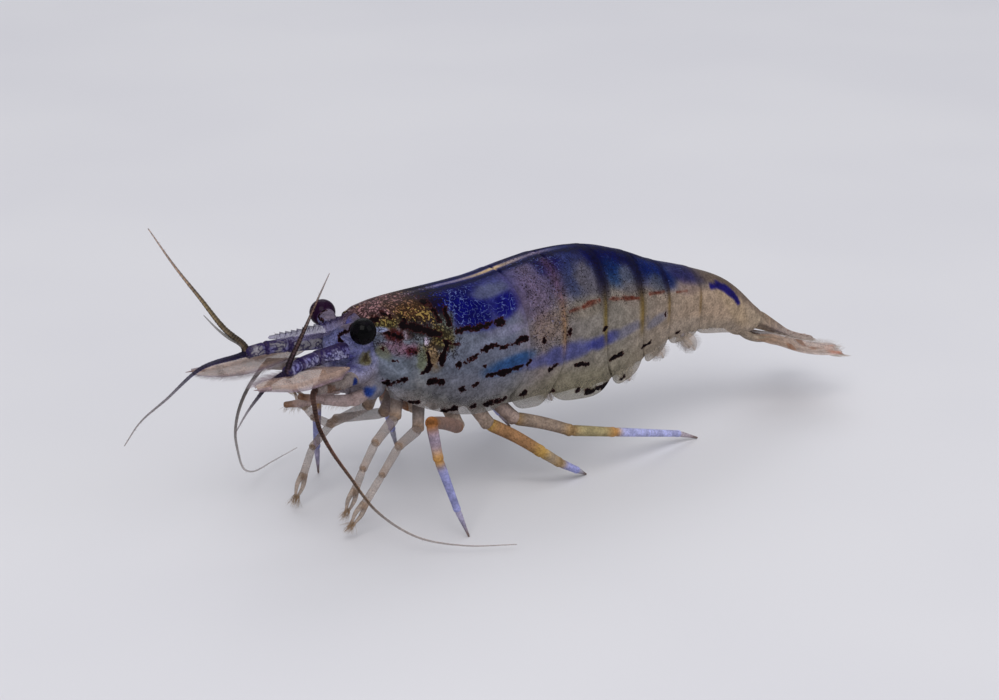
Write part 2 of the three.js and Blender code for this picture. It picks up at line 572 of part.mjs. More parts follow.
for (const [sideName, side] of Object.entries(SIDES)) {
  place(`eye_${sideName}`, eyeBall(side), "eye");
  const stalk = cut(eyestalk(side), eyeBall(side, GAP), bladeClear, headClear, carapaceClear);
  place(`eyestalk_${sideName}`, stalk, "shell");

  // Antennule: a three-jointed stem with two feelers.
  const paths = FEELERS[sideName];
  const stem = (grow) => limb(ANTENNULE_STEM, ANTENNULE_RADII, side, { sides: FINENESS.stem, grow });
  place(`antennule_${sideName}`, cut(stem(0), headClear, carapaceClear), "shell");
  const outer = feeler(paths.outer, side, FEELER_ROOTS.outer);
  place(`antennule_${sideName}_outer`, cut(outer, stem(GAP)), "feeler");
  const inner = cut(feeler(paths.inner, side, FEELER_ROOTS.inner), stem(GAP));
  place(`antennule_${sideName}_inner`, inner, "feeler");

  // Antenna: a stem, the broad scale beside it and one long feeler that trails on the ground.
  const root = (grow) => limb(ANTENNA_STEM, ANTENNA_RADII, side, { sides: FINENESS.stem, grow });
  place(`antenna_${sideName}`, cut(root(0), headClear, carapaceClear), "limb");
  const whip = feeler(paths.antenna, side, FEELER_ROOTS.antenna);
  place(`antenna_${sideName}_feeler`, cut(whip, root(GAP)), "feeler");
  place(`antenna_${sideName}_feeler_end`, feeler(paths.trail, side, FEELER_TIP), "feeler");
  const scale = leaf(SCALES[sideName], SCALE_HALF, side, SCALE_LEAN);
  const bare = cut(scale, stem(GAP), root(GAP), inner, headClear, carapaceClear);
  place(`antenna_scale_${sideName}`, bare, "clear");

  // Jaw leg, claw legs and walking legs.
  const jaw = limb(JAW_LEG[sideName], JAW_RADII, side);
  place(`maxilliped_${sideName}`, cut(jaw, headClear, carapaceClear), "limb");
  for (const [name, leg] of Object.entries(CLAW_LEGS)) {
    const arm = limb(leg[sideName], CLAW_ARM, side).add(fingers(leg[sideName], side));
    place(`${name}_${sideName}`, cut(arm, headClear, carapaceClear), "limb");
  }
  for (const [name, leg] of Object.entries(WALKING_LEGS)) {
    const [hip, thigh, knee] = leg[sideName].map((joint) => onSide(joint, side));
    const upper = [[hip, thigh, 0], [thigh, knee, 1]]
      .map(([from, to, i]) => rod(from, to, WALKER[i], WALKER[i + 1], FINENESS.limb))
      .reduce((a, b) => a.add(b));
    const lower = (grow) => limb(leg[sideName].slice(2), WALKER.slice(2), side, { grow });
    place(`${name}_${sideName}_upper`, cut(upper, carapaceClear, lower(GAP)), "limb");
    place(`${name}_${sideName}_lower`, lower(0).trimByPlane([0, 0, 1], 0), "limb");
  }
}

// Swimmerets: a pair of leaves under each of the first five somites.
SWIMMERETS.forEach(([x, z], i) => {
  for (const [sideName, side] of Object.entries(SIDES)) {
    const { out, back, drop } = SWIMMERET;
    const path = [0, 0.5, 1].map((t) => [x + back * t * t, out, z - drop * t]);
    const swimmeret = leaf(path, SWIMMERET.half, side, SWIMMERET.lean, FINENESS.leafSteps - 1);
    place(`swimmeret_${i + 1}_${sideName}`, cut(swimmeret, ...abdomenClear, carapaceClear), "clear");
  }
});

// Tail fan: the telson between two uropods, each of two blades on a short stem.
const telsonSize = (grow) => (t) => [
  THREE.MathUtils.lerp(...TELSON_SIZE.half, t) + grow,
  THREE.MathUtils.lerp(...TELSON_SIZE.thick, t) + grow,
];
const telson = (grow) =>
  sweep(TELSON, telsonSize(grow), { steps: FINENESS.telsonSteps, sides: FINENESS.stem });
place("telson", cut(telson(0), abdomenClear.at(-1)), "shell");
for (const [sideName, side] of Object.entries(SIDES)) {
  const [from, to] = UROPOD.stem.map((p) => onSide(p, side));
  const stem = rod(from, to, UROPOD.radius, UROPOD.radius, FINENESS.limb);
  const fan = ["outer", "inner"]
    .map((name) => leaf(UROPOD[name], UROPOD.half[name], side, [0, 1, UROPOD.lean[name]]))
    .reduce((a, b) => a.add(b), stem);
  place(`uropod_${sideName}`, cut(fan, abdomenClear.at(-1), telson(GAP)), "clear");
}

// The origin is on the ground under the middle of the whole.
const bounds = new THREE.Box3().setFromObject(shrimp);
const middle = bounds.getCenter(new THREE.Vector3());
shrimp.position.set(-middle.x, -middle.y, -bounds.min.z);
shrimp.updateMatrixWorld(true);

export default shrimp;
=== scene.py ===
import itertools
import math

import bpy
import numpy as np
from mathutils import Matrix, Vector


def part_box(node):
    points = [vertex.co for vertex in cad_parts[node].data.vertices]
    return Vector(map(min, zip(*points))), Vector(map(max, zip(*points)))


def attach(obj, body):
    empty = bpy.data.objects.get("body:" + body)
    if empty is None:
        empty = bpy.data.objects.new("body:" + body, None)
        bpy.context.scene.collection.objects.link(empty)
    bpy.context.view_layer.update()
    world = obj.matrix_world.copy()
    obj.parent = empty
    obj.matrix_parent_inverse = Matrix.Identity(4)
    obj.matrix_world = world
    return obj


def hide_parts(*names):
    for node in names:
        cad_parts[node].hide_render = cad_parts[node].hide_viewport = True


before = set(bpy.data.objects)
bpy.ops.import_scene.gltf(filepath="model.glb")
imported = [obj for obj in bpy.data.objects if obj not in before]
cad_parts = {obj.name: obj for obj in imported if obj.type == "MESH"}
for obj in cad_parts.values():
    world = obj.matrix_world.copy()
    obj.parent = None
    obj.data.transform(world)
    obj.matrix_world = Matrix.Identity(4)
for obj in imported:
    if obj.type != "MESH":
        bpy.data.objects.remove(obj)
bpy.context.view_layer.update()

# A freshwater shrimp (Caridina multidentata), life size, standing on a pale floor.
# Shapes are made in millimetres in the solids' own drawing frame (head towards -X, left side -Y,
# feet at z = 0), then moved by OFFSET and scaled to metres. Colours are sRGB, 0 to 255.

MM = 0.001
SIDES = (("left", -1), ("right", 1))
EYE_CENTRE = np.array((-10.9, -2.1, 11.78))  # the left eye in the drawing frame
EYE_RADIUS = 0.76
OFFSET = (np.array(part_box("eye_left")[0]) + np.array(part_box("eye_left")[1])) / (2 * MM) - EYE_CENTRE
rng = np.random.default_rng(11)
bpy.context.scene.view_settings.view_transform = "Standard"

# ---------------------------------------------------------------- numbers and small maths


def unit(vectors):
    """Vectors scaled to length 1."""
    vectors = np.asarray(vectors, float)
    return vectors / np.maximum(np.linalg.norm(vectors, axis=-1, keepdims=True), 1e-9)


def smooth(x, low=0.0, high=1.0):
    """0 below low, 1 above high, and a soft step between them."""
    t = np.clip((np.asarray(x, float) - low) / (high - low), 0, 1)
    return t * t * (3 - 2 * t)


def bell(x, centre, width):
    """1 at centre, falling away over width."""
    return np.exp(-(((x - centre) / width) ** 2))


def hermite(t, start, slope, stop, end_slope):
    """The cubic from start to stop with these slopes at its ends, at t from 0 to 1."""
    return (start * (2 * t**3 - 3 * t**2 + 1) + slope * (t**3 - 2 * t**2 + t)
            + stop * (3 * t**2 - 2 * t**3) + end_slope * (t**3 - t**2))


def sample(at, where, values):
    """Rows of three numbers, given at some places, read off at others."""
    values = np.asarray(values, float)
    return np.stack([np.interp(at, where, values[:, k]) for k in range(3)], -1)


def blend(colour, tone, share):
    """A colour, or one for each point, moved towards a tone by a share for each point."""
    colour = np.asarray(colour, float)
    return colour + (np.asarray(tone, float) - colour) * np.asarray(share)[:, None]


def noise(points, size, seed):
    """Smooth noise from -1 to 1 with blobs about size mm across."""
    place = np.asarray(points, float).reshape(-1, 3) / size + seed * 7.31
    cell = np.floor(place)
    t = place - cell
    t = t * t * (3 - 2 * t)
    total = np.zeros(len(place))
    for corner in itertools.product((0, 1), repeat=3):
        value = np.sin((cell + corner) @ (12.9898, 78.233, 37.719)) * 43758.5453
        value = 2 * (value - np.floor(value)) - 1
        total += value * np.prod(np.where(corner, t, 1 - t), axis=1)
    return total


CURVE_STEPS = 40  # points worked out between two given ones


def curve(points, count):
    """Points at even steps along a smooth curve through given points."""
    knots = np.asarray(points, float)
    if len(knots) == 2:
        return knots[0] + np.linspace(0, 1, count)[:, None] * (knots[1] - knots[0])
    ends = np.vstack([2 * knots[0] - knots[1], knots, 2 * knots[-1] - knots[-2]])
    gaps = np.sqrt(np.linalg.norm(np.diff(ends, axis=0), axis=1))
    dense = []
    for i in range(1, len(ends) - 2):
        p0, p1, p2, p3 = ends[i - 1 : i + 3]
        g0, g1, g2 = gaps[i - 1 : i + 2]
        m1 = g1 * ((p1 - p0) / g0 - (p2 - p0) / (g0 + g1) + (p2 - p1) / g1)
        m2 = g1 * ((p2 - p1) / g1 - (p3 - p1) / (g1 + g2) + (p3 - p2) / g2)
        t = np.linspace(0, 1, CURVE_STEPS, endpoint=i == len(ends) - 3)[:, None]
        dense.append(hermite(t, p1, m1, p2, m2))
    dense = np.vstack(dense)
    along = np.concatenate([[0], np.cumsum(np.linalg.norm(np.diff(dense, axis=0), axis=1))])
    return sample(np.linspace(0, along[-1], count), along, dense)


def frames(path, across):
    """Tangent, side and up directions along a path, with side kept near the direction across."""
    tangent = unit(np.gradient(path, axis=0))
    side = np.empty_like(path)
    last = np.asarray(across, float)
    for i, ahead in enumerate(tangent):
        last = unit(last - ahead * (last @ ahead))
        side[i] = last
    return tangent, side, np.cross(tangent, side)


def mirrored(points, side):
    """Points given as x, outward, z, placed on one side of the body."""
    return np.asarray(points, float) * (1, side, 1)


def folded(points):
    """Points on either side of the body, all moved to the side where y is positive."""
    return points * (1, 0, 1) + np.abs(points) * (0, 1, 0)


# ---------------------------------------------------------------- meshes in the making


def grid_faces(rows, columns, closed):
    """Quads over a grid of points, row by row; closed joins its last column to its first."""
    row, column = np.meshgrid(np.arange(rows - 1), np.arange(columns - (not closed)), indexing="ij")
    after = (column + 1) % columns
    start = row * columns
    quads = [start + column, start + after, start + columns + after, start + columns + column]
    return np.stack(quads, -1).reshape(-1, 4)


def triangles(faces):
    """Every face as triangles."""
    halves = [f if f.shape[1] == 3 else np.vstack([f[:, :3], f[:, [0, 2, 3]]]) for f in faces]
    return np.vstack(halves)


class Part:
    """A closed mesh: points in mm, faces, and for each point how far along and around it lies."""

    def __init__(self, points, faces, along=0.0, around=0.0):
        self.points = np.asarray(points, float).reshape(-1, 3)
        corner = self.points[triangles(faces)]
        volume = np.einsum("ij,ij->", corner[:, 0], np.cross(corner[:, 1], corner[:, 2]))
        self.faces = faces if volume > 0 else [f[:, ::-1] for f in faces]
        count = len(self.points)
        self.along, self.around = np.full(count, along, float), np.full(count, around, float)
        self.patch = np.zeros((count, 2))
        self.paint((128, 128, 128))

    def paint(self, colour, opacity=1.0, dots=0.0, veins=0.0, pale=0.0, gold=0.0, ink=0.0):
        """Sets pigment, opacity and the density of each kind of marking; numbers or arrays."""
        count = len(self.points)
        self.pigment, self.cells = np.empty((count, 4)), np.empty((count, 4))
        self.pigment[:, :3] = colour
        self.pigment[:, 3] = opacity
        for column, value in enumerate((dots, veins, pale, gold)):
            self.cells[:, column] = value
        self.ink = np.full(count, ink, float)
        return self


def loft(rings, poles, along, around, middle=0.0):
    """A closed body from rows of points and a pole at each end, for which around is middle."""
    rows, columns = rings.shape[:2]
    turn = np.arange(columns)
    after = (turn + 1) % columns
    base = (rows - 1) * columns
    first = np.full(columns, rows * columns)
    caps = [np.stack([first, after, turn], -1), np.stack([first + 1, base + turn, base + after], -1)]
    return Part(
        np.vstack([rings.reshape(-1, 3), poles]),
        [grid_faces(rows, columns, True)] + caps,
        np.concatenate([np.repeat(along, columns), [0, 1]]),
        np.concatenate([np.tile(around, rows), [middle, middle]]),
    )


def tube(path, radius, sides, across=(0, 1, 0), squash=1.0, dome=0.7):
    """A closed tube with domed ends round a path; radius holds a number for each of its points."""
    tangent, side, up = frames(path, across)
    rise = np.radians((70, 45, 22))  # where the rings of a domed end lie
    first, last = radius[0], radius[-1]
    lead = path[0] - tangent[0] * (dome * first * np.sin(rise))[:, None]
    tail = path[-1] + tangent[-1] * (dome * last * np.sin(rise[::-1]))[:, None]
    centre = np.vstack([lead, path, tail])
    pick = np.concatenate([[0] * 3, np.arange(len(path)), [len(path) - 1] * 3])
    width = np.concatenate([first * np.cos(rise), radius, last * np.cos(rise[::-1])])
    angle = np.linspace(0, 2 * math.pi, sides, endpoint=False)
    ring = side[pick][:, None] * np.cos(angle)[:, None] + up[pick][:, None] * np.sin(angle)[:, None] * squash
    poles = np.vstack([path[0] - tangent[0] * dome * first, path[-1] + tangent[-1] * dome * last])
    return loft(centre[:, None] + ring * width[:, None, None], poles, pick / (len(path) - 1), angle)


def horn(points, first, last, steps, sides, **shape):
    """A tube along a smooth curve, its radius going evenly from first to last."""
    return tube(curve(points, steps), np.linspace(first, last, steps), sides, **shape)


def ball(centre, radii, rings=28, sides=40):
    """An ellipsoid with its poles up and down."""
    turn = np.radians(np.linspace(-88, 88, rings))
    path = np.zeros((rings, 3))
    path[:, 2] = np.sin(turn)
    part = tube(path, np.cos(turn), sides, across=(1, 0, 0), dome=0.02)
    part.points = part.points * radii + centre
    return part


def sheet(outer, inner, along, around):
    """A closed thin plate from two grids of points, its rim closed all round."""
    rows, columns = outer.shape[:2]
    count = rows * columns
    index = np.arange(count).reshape(rows, columns)
    rim = np.concatenate([index[0], index[1:, -1], index[-1, -2::-1], index[-2:0:-1, 0]])
    after = np.roll(rim, -1)
    top = grid_faces(rows, columns, False)
    walls = np.stack([rim, after, after + count, rim + count], -1)[:, ::-1]
    faces = [top, top[:, ::-1] + count, walls]
    return Part(np.vstack([outer, inner]), faces, np.tile(along.ravel(), 2), np.tile(around.ravel(), 2))


HAIR_RINGS = ((0, 1.0), (0.4, 0.75), (0.75, 0.45))  # share of a hair's length, and of its root's radius


def bristles(roots, directions, lengths, radius, droop=(0, 0, 0)):
    """Tapering hairs, each a thin three-sided spike of three lengths that bends by droop."""
    count = len(roots)
    directions = unit(np.broadcast_to(directions, (count, 3)))
    lengths, droop = np.broadcast_to(lengths, (count,))[:, None], np.asarray(droop)
    helper = np.where(np.abs(directions[:, 2:]) < 0.8, (0, 0, 1.0), (1.0, 0, 0))
    side = unit(np.cross(directions, helper))
    up = np.cross(directions, side)
    rings = []
    for share, width in HAIR_RINGS:
        middle = roots + directions * lengths * share + droop * lengths * share**2
        for angle in (0, 2 * math.pi / 3, 4 * math.pi / 3):
            rings.append(middle + radius * width * (side * math.cos(angle) + up * math.sin(angle)))
    rings.append(roots + directions * lengths + droop * lengths)
    start = np.arange(count)[:, None] * len(rings)
    quads = [(r + k, r + (k + 1) % 3, r + 3 + (k + 1) % 3, r + 3 + k) for r in (0, 3) for k in range(3)]
    tips = [(6 + k, 6 + (k + 1) % 3, 9) for k in range(3)] + [(2, 1, 0)]
    faces = [(start[:, None] + np.array(shape)).reshape(-1, len(shape[0])) for shape in (quads, tips)]
    share = np.tile(np.repeat((0, 0.4, 0.75, 1), (3, 3, 3, 1)), count)
    return Part(np.stack(rings, 1), faces, share, np.repeat(np.arange(count), len(rings)))


SOLID = 0.995  # opacity from which a face needs no see-through material
SHARP_ANGLE = math.radians(48)  # edges that bend more than this look sharp


def linear(colour):
    """sRGB 0 to 255 as linear light."""
    c = np.clip(np.asarray(colour, float) / 255, 0, 1)
    return np.where(c <= 0.04045, c / 12.92, ((c + 0.055) / 1.055) ** 2.4)


def fill(items, field, values, kind=np.float32):
    """Sets one field of all of a mesh's points, corners or faces."""
    items.foreach_set(field, np.asarray(values).astype(kind).ravel())


def read(items, field, width, kind):
    """One field of all of a mesh's points, edges or triangles, a row for each."""
    values = np.empty(len(items) * width, kind)
    items.foreach_get(field, values)
    return values.reshape(-1, width)


def placed(name, data):
    """A new object in the scene."""
    result = bpy.data.objects.new(name, data)
    bpy.context.scene.collection.objects.link(result)
    return result


def piece(name, parts, materials, nodes=(), hair=False):
    """Joins parts into one object in metres that rides on the body and stands for CAD nodes."""
    def joined(field):
        return np.concatenate([getattr(part, field) for part in parts])

    points = (joined("points") + OFFSET) * MM
    points[:, 2] = np.maximum(points[:, 2], 0)
    loops, sizes, start = [], [], 0
    for part in parts:
        for faces in part.faces:
            loops.append((faces + start).ravel())
            sizes.append(np.full(len(faces), faces.shape[1]))
        start += len(part.points)
    loops, sizes = np.concatenate(loops), np.concatenate(sizes)
    starts = np.cumsum(sizes) - sizes
    mesh = bpy.data.meshes.new(name)
    mesh.vertices.add(len(points))
    mesh.loops.add(len(loops))
    mesh.polygons.add(len(sizes))
    fill(mesh.vertices, "co", points)
    fill(mesh.loops, "vertex_index", loops, np.int32)
    fill(mesh.polygons, "loop_start", starts, np.int32)
    mesh.update(calc_edges=True)
    mesh.validate()
    mesh.shade_smooth()
    mesh.set_sharp_from_angle(angle=SHARP_ANGLE)
    pigment = joined("pigment")
    pigment[:, :3] = linear(pigment[:, :3])
    for label, values in (("pigment", pigment), ("cells", joined("cells"))):
        fill(mesh.color_attributes.new(label, "FLOAT_COLOR", "POINT").data, "color", values)
    fill(mesh.attributes.new("ink", "FLOAT", "POINT").data, "value", joined("ink"))
    if len(materials) > 1:  # the second material is for faces that let what lies under them show
        clear = np.add.reduceat(pigment[loops, 3] < SOLID, starts) > 0
        fill(mesh.polygons, "material_index", clear, np.int32)
    if hair:
        fill(mesh.uv_layers.new(name="OFBake").uv, "vector", joined("patch")[loops])
    for material in materials:
        mesh.materials.append(material)
    result = placed(name, mesh)
    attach(result, "root")
    if nodes:
        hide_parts(*nodes)


# ---------------------------------------------------------------- materials


class Value:
    """A node's output in a material, with sums written as on plain numbers."""

    def __init__(self, shader, socket):
        self.shader, self.socket = shader, socket

    def __add__(self, other):
        return self.shader.math("ADD", self, other)

    def __sub__(self, other):
        return self.shader.math("SUBTRACT", self, other)

    def __mul__(self, other):
        return self.shader.math("MULTIPLY", self, other)

    def __abs__(self):
        return self.shader.math("ABSOLUTE", self)


class Shader:
    """A node material in the making, with its texture space in millimetres."""

    def __init__(self, name):
        self.material = bpy.data.materials.new(name)
        self.material.use_nodes = True
        self.tree = self.material.node_tree
        place = self.node("ShaderNodeTexCoord", "Object")
        self.space = self.node("ShaderNodeMapping", "Vector", Vector=place, Scale=(1 / MM,) * 3)

    def set(self, socket, value):
        """Links an input to a node's output, or sets it to a number or colour."""
        if isinstance(value, Value):
            self.tree.links.new(value.socket, socket)
        else:
            socket.default_value = value

    def node(self, kind, output, settings=(), numbered=(), **inputs):
        """Adds a node and gives one of its outputs; inputs go by name or, numbered, by place."""
        made = self.tree.nodes.new(kind)
        for name, value in dict(settings).items():
            setattr(made, name, value)
        for key, value in (*inputs.items(), *numbered):
            self.set(made.inputs[key], value)
        return Value(self, made.outputs[output])

    def beside(self, value, output):
        """Another output of the node that gave a value."""
        return Value(self, value.socket.node.outputs[output])

    def painted(self, layer, output="Color"):
        """What Part.paint laid on the mesh."""
        return self.node("ShaderNodeAttribute", output, {"attribute_name": layer})

    def grain(self, scale, detail=2.0):
        """Noise with this many features to the millimetre, from 0 to 1."""
        return self.node("ShaderNodeTexNoise", "Fac", Vector=self.space, Scale=scale, Detail=detail)

    def spots(self, scale, jitter=1.0, feature="F1"):
        """Distance to scattered points, or by feature to the walls between them; scale is per mm."""
        return self.node("ShaderNodeTexVoronoi", "Distance", {"feature": feature},
                         Vector=self.space, Scale=scale, Randomness=jitter)

    def math(self, operation, first, second=0.0):
        """One sum on two numbers."""
        return self.node("ShaderNodeMath", 0, {"operation": operation}, ((0, first), (1, second)))

    def step(self, value, low, high, to_low=0.0, to_high=1.0):
        """A soft step from to_low to to_high as value goes from low to high."""
        places = ("Value", "From Min", "From Max", "To Min", "To Max")
        given = zip(places, (value, low, high, to_low, to_high))
        return self.node("ShaderNodeMapRange", "Result", {"interpolation_type": "SMOOTHSTEP"}, given)

    def mix(self, share, first, second, way="MIX"):
        """Mixes two colours."""
        settings = {"data_type": "RGBA", "blend_type": way}
        return self.node("ShaderNodeMix", 2, settings, ((0, share), (6, first), (7, second)))

    def dimmed(self, colour, level):
        """A colour made darker or lighter by a level."""
        grey = self.node("ShaderNodeCombineColor", "Color", Red=level, Green=level, Blue=level)
        return self.mix(1.0, colour, grey, "MULTIPLY")

    def bump(self, height, depth, **below):
        """A normal bent by height, with depth in millimetres."""
        return self.node("ShaderNodeBump", "Normal", Height=height, Distance=depth * MM, **below)

    def finish(self, **inputs):
        """Sets the surface's sockets, with _ for each space in their names, and gives the material."""
        for name, value in inputs.items():
            self.set(self.tree.nodes["Principled BSDF"].inputs[name.replace("_", " ")], value)
        return self.material


def shade(r, g, b):
    """An sRGB colour as the four numbers a colour socket takes."""
    return (*linear((r, g, b)), 1.0)


DOT = shade(50, 24, 18)
GOLD = shade(140, 116, 66)
PALE = shade(96, 110, 164)
INK = shade(10, 4, 6)
INK_EDGE = shade(50, 20, 20)

MOTTLE = 0.2  # how far the cuticle's tone goes up and down


def cuticle(name, dots, worms, vein, see_through):
    """Cuticle: painted pigment under dots, veins and flecks, finely pitted, with little gloss."""
    s = Shader(name)
    pigment, cells, ink = s.painted("pigment"), s.painted("cells"), s.painted("ink", "Fac")
    dot_share = s.node("ShaderNodeSeparateColor", "Red", Color=cells)
    dark_share, pale_share = s.beside(dot_share, "Green"), s.beside(dot_share, "Blue")
    gold_share = s.beside(cells, "Alpha")
    cloud, fine, worm, curl = s.grain(1.9, 3.0), s.grain(8.0), s.grain(worms, 1.5), s.grain(3.0, 1.0)
    colour = s.dimmed(pigment, s.step(cloud, 0.3, 0.7, 1 - MOTTLE, 1 + MOTTLE)
                      * s.step(fine, 0.3, 0.7, 1 - MOTTLE * 1.1, 1 + MOTTLE * 1.1))

    # Pale and dark veins are level lines of two cloudy fields; gold flecks are the peaks of one.
    ragged = fine - 0.5
    pale = pale_share * 0.035 - (abs(curl - 0.5) + abs(ragged) * 0.12)
    dark = s.step(dark_share * 0.08 - abs(worm - 0.51) + ragged * 0.06, 0.0, 0.03)
    peak = gold_share * 0.3 + (worm - 0.85)
    colour = s.mix(s.step(pale, 0.0, 0.03, 0.0, 0.75), colour, PALE)
    colour = s.mix(dark * 0.85, colour, vein)
    colour = s.mix(s.step(peak, 0.0, 0.05, 0.0, 0.85), colour, GOLD)

    # Dots grow with their density. The painted ink field crosses one half at a mark's edge.
    spot = s.step(dot_share * 0.42 - (s.spots(dots) + ragged * 0.35), 0.0, 0.12)
    field = ink + ragged * 0.5 + (worm - 0.5) * 0.7
    edge = s.step(field, 0.40, 0.50)
    colour = s.mix(edge, s.mix(spot * 0.85, colour, DOT), INK_EDGE)
    alpha = 1.0
    if see_through:
        marks = s.math("MAXIMUM", s.math("MAXIMUM", spot, edge), dark)
        alpha = s.math("MAXIMUM", s.beside(pigment, "Alpha"), marks * 0.95)
    pits = s.step(s.spots(16.0), 0.0, 0.45)
    return s.finish(
        Base_Color=s.mix(s.step(field, 0.47, 0.60), colour, INK), Alpha=alpha,
        Normal=s.bump(pits, 0.006, Normal=s.bump(worm, 0.02)), Roughness=s.step(cloud, 0.3, 0.7, 0.36, 0.5),
        IOR=1.4, Specular_IOR_Level=0.02, Coat_Weight=0.025, Coat_Roughness=0.25,
    )


def pigmented(name, dots=7.0, worms=5.4, vein=(18, 10, 10)):
    """A cuticle as two materials: solid, and one that lets what lies under it show."""
    return [cuticle(name, dots, worms, shade(*vein), False),
            cuticle(name + "_clear", dots, worms, shade(*vein), True)]


def eye_material(name):
    """A compound eye: near-black facets under a clear gloss."""
    s = Shader(name)
    wall = s.step(s.spots(17.0, 0.25, "DISTANCE_TO_EDGE"), 0.02, 0.14)
    glow = s.mix(s.step(s.grain(2.2, 3.0), 0.45, 0.75, 0.0, 0.08), s.painted("pigment"), shade(60, 44, 66))
    return s.finish(
        Base_Color=s.mix(s.step(wall, 0, 1, 0.25, 0.0), glow, shade(2, 2, 3)), Normal=s.bump(wall, 0.004),
        Roughness=s.step(s.grain(8.0), 0.3, 0.7, 0.22, 0.34),
        Specular_IOR_Level=0.02, Coat_Weight=0.08, Coat_Roughness=0.04,
    )


def hair_material(name):
    """Setae: stiff pale hairs, uneven in tone."""
    s = Shader(name)
    pigment = s.painted("pigment")
    colour = s.dimmed(pigment, s.step(s.grain(2.4), 0.3, 0.7, 0.78, 1.12))
    return s.finish(Base_Color=colour, Alpha=s.beside(pigment, "Alpha"),
                    Roughness=s.step(s.grain(6.0), 0.3, 0.7, 0.35, 0.6))


SHELL = pigmented("cuticle_plate")
SKIN = pigmented("skin_under_plates")[:1]  # only the solid one
STEM = pigmented("cuticle_stem", dots=6.0, worms=3.4, vein=(34, 24, 66))
CLEAR = pigmented("cuticle_clear", dots=6.0, vein=(52, 36, 44))
LIMB = pigmented("cuticle_limb", dots=9.0, vein=(60, 34, 26))
FEELER = pigmented("cuticle_feeler", dots=8.0, vein=(40, 28, 30))
EYE = [eye_material("eye_facets")]
HAIR = [hair_material("setae")]

# ---------------------------------------------------------------- the trunk's form

RIBS = np.array([
    # s, back x, back z, edge x, edge z, half width, belly arch
    (0, -10.2, 12.4, -9.8, 8.7, 1.7, 0.14),
    (2, -8.2, 12.62, -8.4, 7.2, 2.5, 0.12),
    (5, -5.2, 12.7, -5.4, 5.85, 3.0, 0.1),
    (8, -2.2, 12.8, -2.4, 5.2, 3.15, 0.1),
    (10, -0.2, 13.06, -0.2, 5.0, 3.1, 0.22),
    (12.8, 2.7, 13.42, 2.6, 4.8, 3.0, 0.28),
    (16, 6.0, 13.3, 5.9, 4.6, 2.8, 0.29),
    (19, 9.0, 12.45, 8.8, 5.25, 2.45, 0.26),
    (21.4, 11.4, 11.4, 11.1, 6.15, 2.1, 0.24),
    (24.2, 14.2, 10.45, 13.8, 6.4, 1.75, 0.16),
    (27, 17.2, 9.1, 16.5, 6.05, 1.45, 0.08),
    (29.8, 19.85, 6.75, 18.8, 5.3, 1.1, 0.06),
])
LENGTH = 29.8  # the trunk's last station
HALVINGS = 22  # steps by which the station of a point is found
WAIST = 0.6  # share round the flank, from back to lower edge, where it is widest
WIDEST = 0.46  # share of the height there
TUCK = 0.2  # how far the lower edge is drawn in
FULLNESS = 0.9  # power below 1, by which the back is fuller than an ellipse
GAP = 0.08  # mm between one plate's rear edge and the next plate's front
# A margin is the station at the back, at the hinge and at the lower edge. Each plate has its rear
# margin, and how far in mm its lower corners are rounded off.
ORBIT = (0, 0.1, 0.9)
SOMITE_FRONT = 9.1  # no first somite ahead of this under the carapace's lower corner
PLATES = (
    ("carapace", (9.65, 10.15, 8.1), 0.25),
    ("abdomen_1", (12.7, 12.8, 12.0), 0.9),
    ("abdomen_2", (16.1, 15.9, 16.7), 0.8),
    ("abdomen_3", (19.1, 19.0, 19.5), 0.9),
    ("abdomen_4", (21.4, 21.4, 21.7), 0.7),
    ("abdomen_5", (24.2, 24.2, 24.4), 0.5),
    ("abdomen_6", (29.8, 29.7, 29.2), 0.2),
)
S, BACK_X, BACK_Z, EDGE_X, EDGE_Z, HALF, BELLY = range(7)


def rib(column, s):
    """One measure of the trunk at stations s, smoothly between the ribs."""
    at, value = RIBS[:, S], RIBS[:, column]
    count = len(at)
    before = np.maximum(np.arange(count) - 1, 0)
    after = np.minimum(np.arange(count) + 1, count - 1)
    slope = (value[after] - value[before]) / (at[after] - at[before])
    i = np.clip(np.searchsorted(at, s, side="right") - 1, 0, count - 2)
    span = at[i + 1] - at[i]
    return hermite((s - at[i]) / span, value[i], slope[i] * span, value[i + 1], slope[i + 1] * span)


def flank(s, around):
    """Half width and share of the height, at shares round the flank from back to lower edge."""
    half = rib(HALF, s)
    angle = np.clip(around / WAIST, 0, 1) * math.pi / 2
    below = np.clip((around - WAIST) / (1 - WAIST), 0, 1)
    upper = around <= WAIST
    width = np.where(upper, half * np.sin(angle) ** FULLNESS, half * (1 - TUCK * below**1.7))
    rise = WIDEST + (1 - WIDEST) * np.maximum(np.cos(angle), 0) ** FULLNESS
    return width, np.where(upper, rise, WIDEST * (1 - below))


def profile(s, share):
    """x and z at a share of the height on the rib at s."""
    return [rib(edge, s) + (rib(back, s) - rib(edge, s)) * share
            for edge, back in ((EDGE_X, BACK_X), (EDGE_Z, BACK_Z))]


def on_rib(s, width, share):
    """The point at a width and a share of the height on the rib at s."""
    x, z = profile(s, share)
    return np.stack(np.broadcast_arrays(x, width, z), -1)


def around_at(share):
    """The share round the flank where the height share is this."""
    rise = np.clip((share - WIDEST) / (1 - WIDEST), 0, 1)
    upper = np.arccos(rise ** (1 / FULLNESS)) / (math.pi / 2) * WAIST
    return np.where(share > WIDEST, upper, WAIST + (1 - WAIST) * (1 - np.clip(share, 0, WIDEST) / WIDEST))


